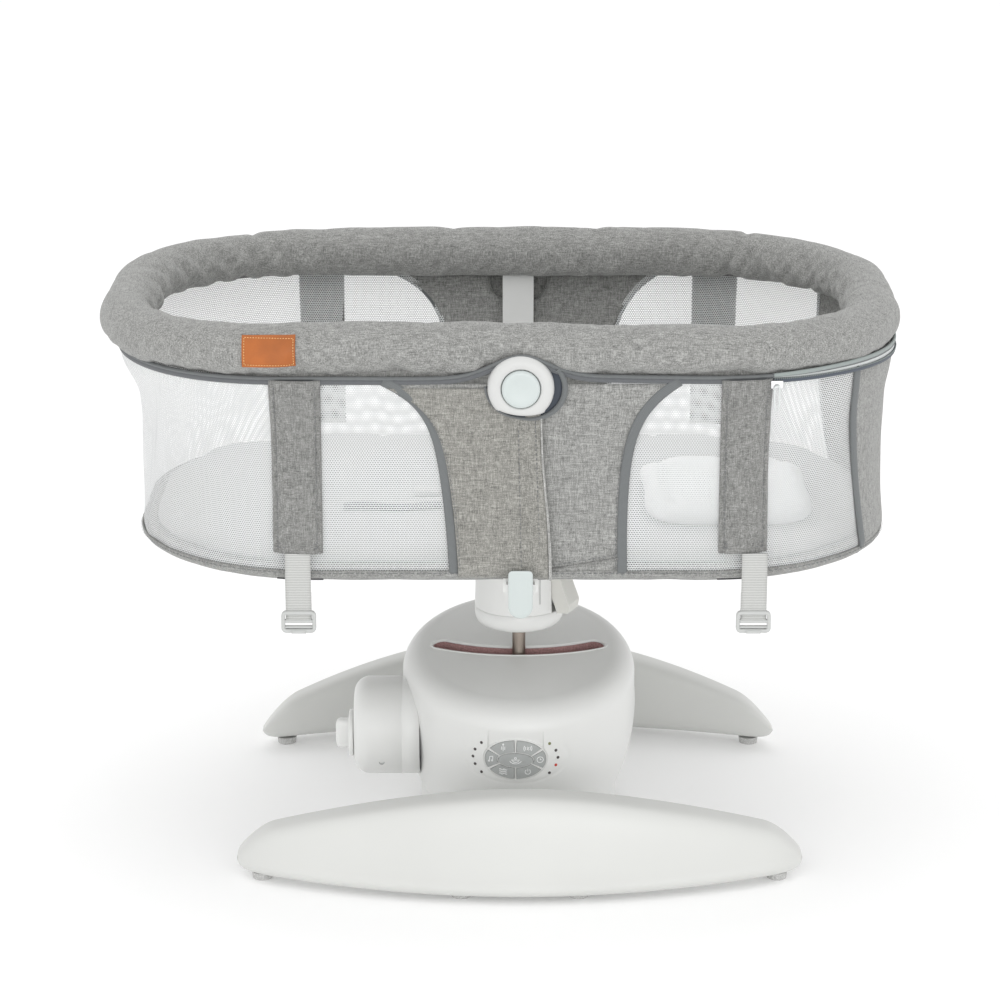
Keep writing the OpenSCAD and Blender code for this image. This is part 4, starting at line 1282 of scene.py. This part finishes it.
# ---------------------------------------------------------------- base
SEAM_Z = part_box("housing_shell")[1].z
SHELL_LOW, SHELL_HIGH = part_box("housing_shell")
HOUSE_R = (SHELL_HIGH.x - SHELL_LOW.x) / 2
HOUSE_Y = (SHELL_HIGH.y + SHELL_LOW.y) / 2
STRETCH = (SHELL_HIGH.y - SHELL_LOW.y) / (SHELL_HIGH.x - SHELL_LOW.x)
TILT = math.radians(7)
CROWN_H, CROWN_DOME, CROWN_ROUND = 0.043, 0.007, 0.026
CHASSIS_TOP = SHELL_LOW.z
FASCIA_LOW, FASCIA_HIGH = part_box("control_fascia")
KEY_X = (FASCIA_LOW.x + FASCIA_HIGH.x) / 2
KEY_Z = (FASCIA_LOW.z + FASCIA_HIGH.z) / 2
FASCIA_RX = (FASCIA_HIGH.x - FASCIA_LOW.x) / 2
FASCIA_RZ = (FASCIA_HIGH.z - FASCIA_LOW.z) / 2


WIDEST_Z = 0.112        # height at which the housing is widest
TAPER, TAPER_H = 0.020, 0.088


def housing_radius(z):
    """The housing narrows by TAPER at TAPER_H above or below its widest place."""
    return HOUSE_R - TAPER * ((z - WIDEST_Z) / TAPER_H) ** 2


def wall_y(x, z):
    """Front face of the housing below a point of the control panel."""
    r = housing_radius(z)
    return HOUSE_Y - STRETCH * math.sqrt(max(0.0, r * r - (x - MAST) ** 2))


def crown_point(r, a, h):
    x, y = r * math.cos(a), STRETCH * r * math.sin(a)
    return (MAST + x, HOUSE_Y + y * math.cos(TILT) - h * math.sin(TILT),
            SEAM_Z + y * math.sin(TILT) + h * math.cos(TILT))


def crown_height(x, y):
    """Height of the crown's top face over a point, taken from its tilted dome."""
    yl = (y - HOUSE_Y + CROWN_H * math.sin(TILT)) / math.cos(TILT)
    rho = math.hypot(x - MAST, yl / STRETCH) / (housing_radius(SEAM_Z) - CROWN_ROUND)
    h = CROWN_H + CROWN_DOME * (1 - min(1.0, rho) ** 2)
    return SEAM_Z + yl * math.sin(TILT) + h * math.cos(TILT)


def housing_angles(n=760):
    """Angles round the housing, closer together at the control panel."""
    t = np.linspace(0, 2 * math.pi, n, endpoint=False)
    return t - 0.62 * np.sin(t)


def build_housing():
    angles = housing_angles() - math.pi / 2
    tan = math.tan(TILT)
    rows = []
    for k in np.linspace(0, 1, 130):
        z0 = CHASSIS_TOP + (SEAM_Z - CHASSIS_TOP) * k
        row = []
        for a in angles:
            r = housing_radius(z0)
            z = z0 + k * tan * STRETCH * r * math.sin(a)
            r = housing_radius(z)
            row.append((MAST + r * math.cos(a), HOUSE_Y + STRETCH * r * math.sin(a), z))
        rows.append(row)
    r0 = housing_radius(SEAM_Z)
    f = CROWN_ROUND
    arc = [(r0 - f + f * math.cos(b), CROWN_H - f + f * math.sin(b))
           for b in np.linspace(0.06, math.pi / 2, 26)]
    top = [((r0 - f) * k, CROWN_H + CROWN_DOME * (1 - k * k)) for k in np.linspace(0.97, 0.0, 40)]
    for r, h in arc + top:
        rows.append([crown_point(max(r, 0.0005), a, h) for a in angles])
    points = np.array(rows)
    # shallow pocket for the control panel
    x, y, z = points[..., 0], points[..., 1], points[..., 2]
    u = np.hypot((x - KEY_X) / (FASCIA_RX + 0.0005), (z - KEY_Z) / (FASCIA_RZ + 0.0005))
    dent = np.clip((1.0 - u) / 0.045, 0, 1)
    dent = dent * dent * (3 - 2 * dent) * (y < 0)
    points[..., 1] += 0.0030 * dent
    # faint raised outline round the keys and lamps
    v = np.hypot((x - KEY_X) / 0.0545, (z - KEY_Z) / 0.0275)
    points[..., 1] += 0.00050 * np.exp(-((v - 1) / 0.05) ** 2) * (y < 0)
    # pocket for the power inlet
    j = middle("power_jack")
    w = np.hypot(y - j.y, z - j.z) / 0.0062
    points[..., 0] -= 0.0040 * np.clip((1.0 - w) / 0.12, 0, 1) * (x > MAST)
    shell = grid("housing_skin", points, close_v=True)
    tidy(shell, 1e-5)
    if shell.data.polygons[0].normal.z > 0.99:
        shell.data.flip_normals()
    solid(shell, 0.0024, -1)
    cutter = slot_cutter()
    modify(shell, "BOOLEAN", object=cutter, operation="DIFFERENCE", solver="EXACT")
    apply_all(shell)
    bpy.data.objects.remove(cutter)
    dress(shell, WHITE, "base", "white_plastic", "housing_shell", "housing_crown")


SLOT_W = 0.020
SLOT_HALF = math.radians(36)


def slot_outline(width, half, n=90, m=16):
    """Closed outline of the arc slot in plan, wound one way round."""
    c = Vector((PIVOT.x, PIVOT.y))
    r = PIVOT.y
    pts = [(c.x + (r + width / 2) * math.cos(a), c.y + (r + width / 2) * math.sin(a))
           for a in np.linspace(-math.pi / 2 - half, -math.pi / 2 + half, n)]
    a = -math.pi / 2 + half
    e = (c.x + r * math.cos(a), c.y + r * math.sin(a))
    pts += [(e[0] + width / 2 * math.cos(a + b), e[1] + width / 2 * math.sin(a + b))
            for b in np.linspace(0, math.pi, m + 2)[1:-1]]
    pts += [(c.x + (r - width / 2) * math.cos(a), c.y + (r - width / 2) * math.sin(a))
            for a in np.linspace(-math.pi / 2 + half, -math.pi / 2 - half, n)]
    a = -math.pi / 2 - half
    e = (c.x + r * math.cos(a), c.y + r * math.sin(a))
    pts += [(e[0] + width / 2 * math.cos(a - b), e[1] + width / 2 * math.sin(a - b))
            for b in np.linspace(math.pi, 0, m + 2)[1:-1]]
    return np.array(pts)


def slot_cutter():
    outline = slot_outline(SLOT_W + 0.0006, SLOT_HALF)
    n = len(outline)
    low = np.column_stack([outline, np.full(n, SEAM_Z + 0.012)])
    high = np.column_stack([outline, np.full(n, SEAM_Z + 0.08)])
    obj = grid("cut", np.stack([low, high], 0), close_v=True, caps=True)
    return tidy(obj)


def build_slot():
    """Rounded lip and wall of the arc slot, and the felt that lines the wall."""
    outline = slot_outline(SLOT_W, SLOT_HALF)
    outward = slot_outline(SLOT_W + 0.002, SLOT_HALF) - outline
    outward /= np.maximum(np.linalg.norm(outward, axis=1, keepdims=True), 1e-9)
    z = np.array([crown_height(*p) for p in outline])
    rings = []
    for d, h in [(0.0026, -0.0004), (0.0022, 0.00012), (0.0015, 0.00020), (0.0009, 0.0),
                 (0.0003, -0.0006), (0.0, -0.0016), (0.0, -0.0024)]:
        rings.append(np.column_stack([outline + outward * d, z + h]))
    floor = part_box("slot_liner")[1].z
    lip = grid("slot_lip", np.stack(rings, 0), close_v=True)
    dress(solid(lip, 0.0012, 0), WHITE, "base", "white_plastic")
    inner = slot_outline(SLOT_W - 0.0004, SLOT_HALF)
    n = len(inner)
    wall_top = np.column_stack([inner, z - 0.0022])
    wall_low = np.column_stack([inner, np.full(n, floor + 0.0004)])
    lining = grid("slot_felt_wall", np.stack([wall_top, wall_low], 0), close_v=True)
    dress(solid(lining, 0.0006, 0), FELT, "base", "felt")


def build_felt():
    half = SLOT_HALF
    outer = slot_outline(SLOT_W + 0.013, half)
    gap = slot_outline(0.0150, math.radians(31))
    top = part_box("slot_liner")[1].z
    n = len(outer)
    rings = [np.column_stack([gap, np.full(n, top - 0.0018)]),
             np.column_stack([gap, np.full(n, top - 0.0002)]),
             np.column_stack([gap * 0.9 + outer * 0.1, np.full(n, top)]),
             np.column_stack([outer, np.full(n, top)]),
             np.column_stack([outer, np.full(n, top - 0.0018)])]
    felt = grid("slot_felt", np.stack(rings, 0), close_u=True, close_v=True)
    dress(felt, FELT, "base", "felt", "slot_liner")


LEG_LOW, LEG_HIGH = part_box("front_leg")
LEG_L = LEG_HIGH.x - LEG_LOW.x
LEG_H = LEG_HIGH.z - LEG_LOW.z
LEG_TIP_H = 0.034       # height of a leg near its two ends
LEG_THICK = 0.052       # its thickness at the middle
LEG_ROUND = 0.86        # share of the half length where an end starts to round off
LEG_SQUARE = 0.55       # how square its section is; 1 would be an ellipse
LEG_OUT = 0.246         # distance of its middle from the part's centre
LEG_SWEEP = 0.061       # how far its ends curve back
LEG_LEAN = 0.009        # how far its top leans in


def leg_shape(u, a):
    """A point on a leg: u runs from end to end as -1 to 1, and a goes round the section."""
    end = math.sqrt(max(0.0004, 1 - (max(0.0, (abs(u) - LEG_ROUND) / (1 - LEG_ROUND))) ** 2))
    h = (LEG_H - (LEG_H - LEG_TIP_H) * abs(u) ** 1.8) * end
    t = LEG_THICK * (0.35 + 0.65 * end) * (1 - 0.25 * u * u)
    c, s = math.cos(a), math.sin(a)
    across = math.copysign(abs(c) ** LEG_SQUARE, c) * t / 2
    up = math.copysign(abs(s) ** LEG_SQUARE, s) * 0.5 + 0.5
    lean = LEG_LEAN * (0.5 - up)
    outer = 1 if across > 0 else 0
    lip = 0.0016 * math.exp(-((up * h - 0.010) / 0.005) ** 2) * outer * min(1.0, end * 1.2)
    under = 0.004 * u * u + 0.012 * (1 - end) ** 2
    y = LEG_OUT - LEG_SWEEP * u * u + across + lean + lip
    return u * LEG_L / 2, y, LEG_LOW.z + under + h * up


def build_leg(side):
    s = -1 if side == "front" else 1
    nu, nv = 150, 96
    pts = np.empty((nu, nv, 3))
    for i in range(nu):
        u = math.sin(math.pi * i / (nu - 1) - math.pi / 2)
        for j in range(nv):
            x, y, z = leg_shape(u, 2 * math.pi * j / nv)
            pts[i, j] = (MAST + s * x, s * y, z)
    leg = grid(side + "_leg_shell", pts, close_v=True, caps=True)
    tidy(leg)
    dress(leg, LEG_WHITE_PAINTED_SHADE, "base", "white_plastic", side + "_leg")


def build_pod():
    low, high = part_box("knob_pod")
    mid = middle("knob_pod")
    end = low.x
    r = (high.z - low.z) / 2
    f = 0.017
    inner = MAST - HOUSE_R + 0.020
    profile = [(r - 0.002, -inner), (r, -inner + 0.001), (r, -(end + 0.052)),
               (r - 0.0005, -(end + 0.0515)), (r - 0.0005, -(end + 0.0508)),
               (r, -(end + 0.0503)), (r, -(end + f))]
    profile += [(r - f + f * math.cos(a), -end - f + f * math.sin(a))
                for a in np.linspace(0.1, math.pi / 2, 14)]
    profile += [((r - f) * k, -end + 0.0004 * (1 - k)) for k in (0.8, 0.5, 0.2, 0.0)]
    pod = revolve("knob_pod_shell", profile, (0, mid.y, mid.z), "X", 160, -1)
    dress(pod, WHITE, "base", "white_plastic", "knob_pod")
    screw = revolve("pod_screw_hole", [(0.0031, -0.0002), (0.0031, 0.0004), (0.0022, 0.0006),
                                       (0.0020, -0.0004), (0.0, -0.0005)],
                    (end + 0.030, mid.y - r * 0.86, mid.z - r * 0.50), "Y", 32, -1)
    dress(screw, SMOKE, "base", "white_plastic")


def build_knob():
    low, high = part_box("selector_knob")
    c = middle("selector_knob")
    pod_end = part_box("knob_pod")[0].x
    r = (high.z - low.z) / 2
    base = -pod_end
    flange = [(0.0, base + 0.0004), (r - 0.001, base + 0.0004), (r, base + 0.0014), (r, base + 0.0036),
              (r - 0.0008, base + 0.0048), (r - 0.0024, base + 0.0054), (0.0, base + 0.0056)]
    disc = revolve("d", flange, (0, c.y, c.z), "X", 96, -1)
    grip_w, grip_h = 0.0075, 0.0160
    x1, x0 = pod_end - 0.0054, low.x
    pts = []
    for k in np.linspace(0, 1, 14):
        row = []
        swell = math.sqrt(max(0.0, 1 - max(0.0, (k - 0.6) / 0.4) ** 2)) * 0.35 + 0.65
        for a in np.linspace(0, 2 * math.pi, 48, endpoint=False):
            cc, ss = math.cos(a), math.sin(a)
            row.append((x1 + (x0 - x1) * k, c.y + math.copysign(abs(cc) ** 0.6, cc) * grip_w * swell,
                        c.z + math.copysign(abs(ss) ** 0.75, ss) * grip_h * swell))
        pts.append(row)
    grip = grid("g", np.array(pts), close_v=True, caps=True)
    tidy(grip)
    mark = rounded_box("m", Vector((x0 - 0.0002, c.y - 0.0006, c.z + 0.004)),
                       Vector((x0 + 0.001, c.y + 0.0006, c.z + 0.011)), 0.0003)
    parts = [dress_only(disc, WHITE), dress_only(grip, WHITE), dress_only(mark, SMOKE)]
    dress(join("selector_knob_grip", parts), None, "selector_knob", "white_plastic", "selector_knob")
    for dz, dy in ((0.029, 0.006), (0.029, -0.006)):
        dot = rounded_box("pod_mark", Vector((pod_end - 0.0003, c.y + dy - 0.0008, c.z + dz)),
                          Vector((pod_end + 0.002, c.y + dy + 0.0008, c.z + dz + 0.003)), 0.0003)
        dress(dot, SMOKE, "base", "white_plastic")


# ---------------------------------------------------------------- keys, symbols and lamps
KEY_MIDDLE = {"key_swing": 60, "key_vibration": 120, "key_music": 180, "key_waves": 240,
              "key_power": 300, "key_timer": 0}


CAD_KEYS = {o["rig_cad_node"] if isinstance(o["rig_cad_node"], str) else o.name: o
            for o in bpy.data.objects if "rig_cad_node" in o}


def key_spot(name):
    if name == "key_speed":
        return KEY_X, KEY_Z
    a = math.radians(KEY_MIDDLE[name])
    return KEY_X + 0.0255 * math.cos(a), KEY_Z + 0.0153 * math.sin(a)


def key_front(name, x, z):
    """Depth of the front face of a key at a place."""
    hit, spot, _, _ = CAD_KEYS[name].ray_cast((x, -1.0, z), (0, 1, 0))
    return spot.y if hit else wall_y(x, z)


def on_key(points, name, proud=0.0002):
    cx, cz = key_spot(name)
    spots = [(cx + u * MM, cz + w * MM) for u, w in points]
    return np.array([(x, key_front(name, x, z) - proud, z) for x, z in spots])


def stroke(points, name, width=0.9, closed=False):
    """A printed line of a key symbol; the points are millimetres from the middle of the key."""
    path = on_key(points, name)
    return sweep("i", path, np.tile([0, -1, 0], (len(path), 1)),
                 tape_profile(width * MM, 0.0003, 0.0, 3), closed=closed)


def circle_points(r, a0=0, a1=360, cx=0.0, cz=0.0, n=24):
    return [(cx + r * math.cos(math.radians(a)), cz + r * math.sin(math.radians(a)))
            for a in np.linspace(a0, a1, n)]


def symbol_lines(name):
    if name == "key_music":
        return [[(-1.2, -1.8), (-1.2, 2.8), (2.0, 3.4), (2.0, -1.2)],
                circle_points(0.7, cx=-1.9, cz=-2.0), circle_points(0.7, cx=1.3, cz=-1.4)]
    if name == "key_timer":
        return [circle_points(3.2), [(0, 1.8), (0, 0), (1.5, 0)]]
    if name == "key_power":
        return [circle_points(2.8, 120, 420), [(0, 3.8), (0, 0.6)]]
    if name == "key_waves":
        return [[(u, w + 0.6 * math.sin(u * 1.5)) for u in np.linspace(-4, 4, 24)]
                for w in (-2.4, 0, 2.4)]
    if name == "key_vibration":
        return [[(0.0, 3.2), (0.0, -3.2)], [(-1.6, 1.8), (-1.6, -1.8)], [(1.6, 1.8), (1.6, -1.8)],
                circle_points(0.6, cz=4.0)]
    if name == "key_swing":
        return [circle_points(4.2, 140, 220), circle_points(4.2, -40, 40), circle_points(2.6, 140, 220),
                circle_points(2.6, -40, 40), [(-0.9, 1.8), (0.9, 0.6), (-0.9, -0.6), (0.9, -1.8)]]
    bowl = circle_points(4.0, 200, 340, cz=1.8)
    return [bowl, [(-4.6, 0.4), (4.6, 0.4)], circle_points(1.0, cz=2.4),
            circle_points(7.5, 215, 325, cz=3.6)]


def straight_runs(line):
    """A few points along each straight run of a line, each corner once."""
    runs = [np.array(a) + (np.array(b) - np.array(a)) * t for a, b in zip(line, line[1:])
            for t in (0, 0.34, 0.67, 1.0) if not (t == 0 and a is not line[0])]
    return np.array(runs)


def build_keys():
    for name in [*KEY_MIDDLE, "key_speed"]:
        parts = []
        for line in symbol_lines(name):
            dense = smooth_line(line, 26) if len(line) > 6 else straight_runs(line)
            parts.append(dress_only(stroke(dense, name, 0.85), ICON))
        dress(join(name + "_symbol", parts), None, name, "grey_keys")


def build_lamps():
    lit = {(1, 2): LAMP_OLIVE, (1, -1): LAMP_RED, (1, -2): LAMP_DARK}
    parts = []
    for s in (-1, 1):
        for k in range(-2, 3):
            x, z = KEY_X + s * (0.044 - 0.0022 * k * k), KEY_Z + 0.0083 * k
            face = wall_y(x, z)
            slope = (wall_y(x + 0.001, z) - wall_y(x - 0.001, z)) / 0.002
            dome = revolve("l", [(0.0016, -0.001), (0.0016, 0.0002), (0.0013, 0.0005), (0.0007, 0.0007),
                                 (0.0, 0.00075)],
                           (0, 0, 0), "Y", 24, -1)
            turn = Matrix.Rotation(math.atan(slope), 4, "Z")
            dome.data.transform(Matrix.Translation((x, face, z)) @ turn)
            parts.append(dress_only(dome, lit.get((s, k), LAMP_DARK)))
    dress(join("indicator_lamps", parts), None, "base", "lamp_lens", "indicator_lights")


def build_inlet():
    low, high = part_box("power_jack")
    m = middle("power_jack")
    r = (high.z - low.z) / 2
    x = high.x
    ring = [(0.0028, x - 0.010), (0.0028, x - 0.0002), (0.0034, x + 0.0004), (r - 0.0008, x + 0.0006),
            (r, x - 0.0002), (r, x - 0.010), (0.0028, x - 0.010)]
    jack = revolve("power_inlet", ring, (0, m.y, m.z), "X", 64)
    dress(jack, BLACK, "base", "black_plastic", "power_jack")


# ---------------------------------------------------------------- CAD pieces that stay as they are
CARRIED = {"foot_pads": RUBBER, "chassis": WHITE, "chassis_screws": BRIGHT, "control_fascia": WHITE,
           "key_mat": RUBBER,
           "circuit_board": CIRCUIT, "speaker": BLACK, "drive_coil": COPPER, "pivot_bearings": BRIGHT,
           "pivot_shaft": BRIGHT,
           "swing_arm": STEEL, "drive_magnet": BRIGHT, "post": STEEL, "neck_shell": WHITE,
           "latch_lever": CREAM, "yoke": WHITE, "rim_frame": BRIGHT, "base_board": BOARD}
BEVELS = {"foot_pads": 0.0008, "chassis": 0.0015, "control_fascia": 0.0003, "latch_lever": 0.0012,
          "yoke": 0.0025, "swing_arm": 0.001}


def dress_cad():
    for o in bpy.data.objects:
        if "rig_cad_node" not in o:
            continue
        node = o["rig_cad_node"] if isinstance(o["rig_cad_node"], str) else o.name
        if node.startswith("key_") and node != "key_mat":
            material, width = KEYS, 0.0005
        elif node in CARRIED:
            material, width = CARRIED[node], BEVELS.get(node)
        else:
            continue
        o.data.materials.clear()
        o.data.materials.append(material)
        if width:
            modify(o, "BEVEL", width=width, segments=3, limit_method="ANGLE",
                   angle_limit=math.radians(35), harden_normals=True)


# ---------------------------------------------------------------- studio
def area_light(name, at, target, size, power, colour=(1, 1, 1)):
    data = bpy.data.lights.new(name, "AREA")
    data.shape = "RECTANGLE"
    data.size, data.size_y = size
    data.energy = power
    data.color = colour
    o = bpy.data.objects.new(name, data)
    bpy.context.scene.collection.objects.link(o)
    o.location = at
    o.rotation_euler = (Vector(target) - Vector(at)).to_track_quat("-Z", "Y").to_euler()
    return o


def build_studio():
    scene = bpy.context.scene
    world = bpy.data.worlds.new("studio_world")
    world.use_nodes = True
    world.node_tree.nodes["Background"].inputs["Color"].default_value = (1, 1, 1, 1)
    world.node_tree.nodes["Background"].inputs["Strength"].default_value = 1.0
    scene.world = world
    scene.view_settings.view_transform = "Standard"
    floor_mat = Recipe("studio_floor", 0.9)
    floor_mat.set(Emission_Color=(1, 1, 1, 1), Emission_Strength=0.12)
    floor_mat.set(Base_Color=floor_mat.ramp(floor_mat.noise(0.8, 2.0), (0.3, (0.90, 0.90, 0.90)),
                                            (0.7, (0.92, 0.92, 0.92))))
    pts = np.array([[(x, y, 0.0) for y in np.linspace(-8, 16, 13)] for x in np.linspace(-12, 12, 13)])
    floor = grid("studio_floor", pts)
    floor.location.z = -0.0002
    floor.data.materials.append(floor_mat.mat)
    key = area_light("soft_key", (-1.6, -2.6, 2.7), (0, 0, 0.35), (2.4, 2.0), 9)
    fill = area_light("soft_fill", (0.5, -3.0, 0.55), (0, 0, 0.25), (3.0, 0.9), 17)
    top = area_light("soft_top", (0, 0.3, 3.2), (0, 0, 0.3), (3.0, 3.0), 10)
    cam_data = bpy.data.cameras.new("camera")
    cam_data.lens = 116.1
    cam_data.sensor_width = 36
    cam = bpy.data.objects.new("camera", cam_data)
    scene.collection.objects.link(cam)
    cam.location = (0, -3.249, 1.287)
    cam.rotation_euler = (math.radians(73.8), 0, 0)
    scene.camera = cam


build_nets()
build_side_panel("front")
build_side_panel("rear")
build_head_end()
build_straps()
build_floor()
rim = build_bumper()
build_zip()
build_slider()
build_tag(rim)
build_mattress()
build_pillow()
build_harness()
build_tail("left")
build_tail("right")
build_hub("front")
build_hub("rear")
build_neck()
build_tab()
build_housing()
build_slot()
build_felt()
build_leg("front")
build_leg("rear")
build_pod()
build_knob()
build_keys()
build_lamps()
build_inlet()
dress_cad()
build_studio()
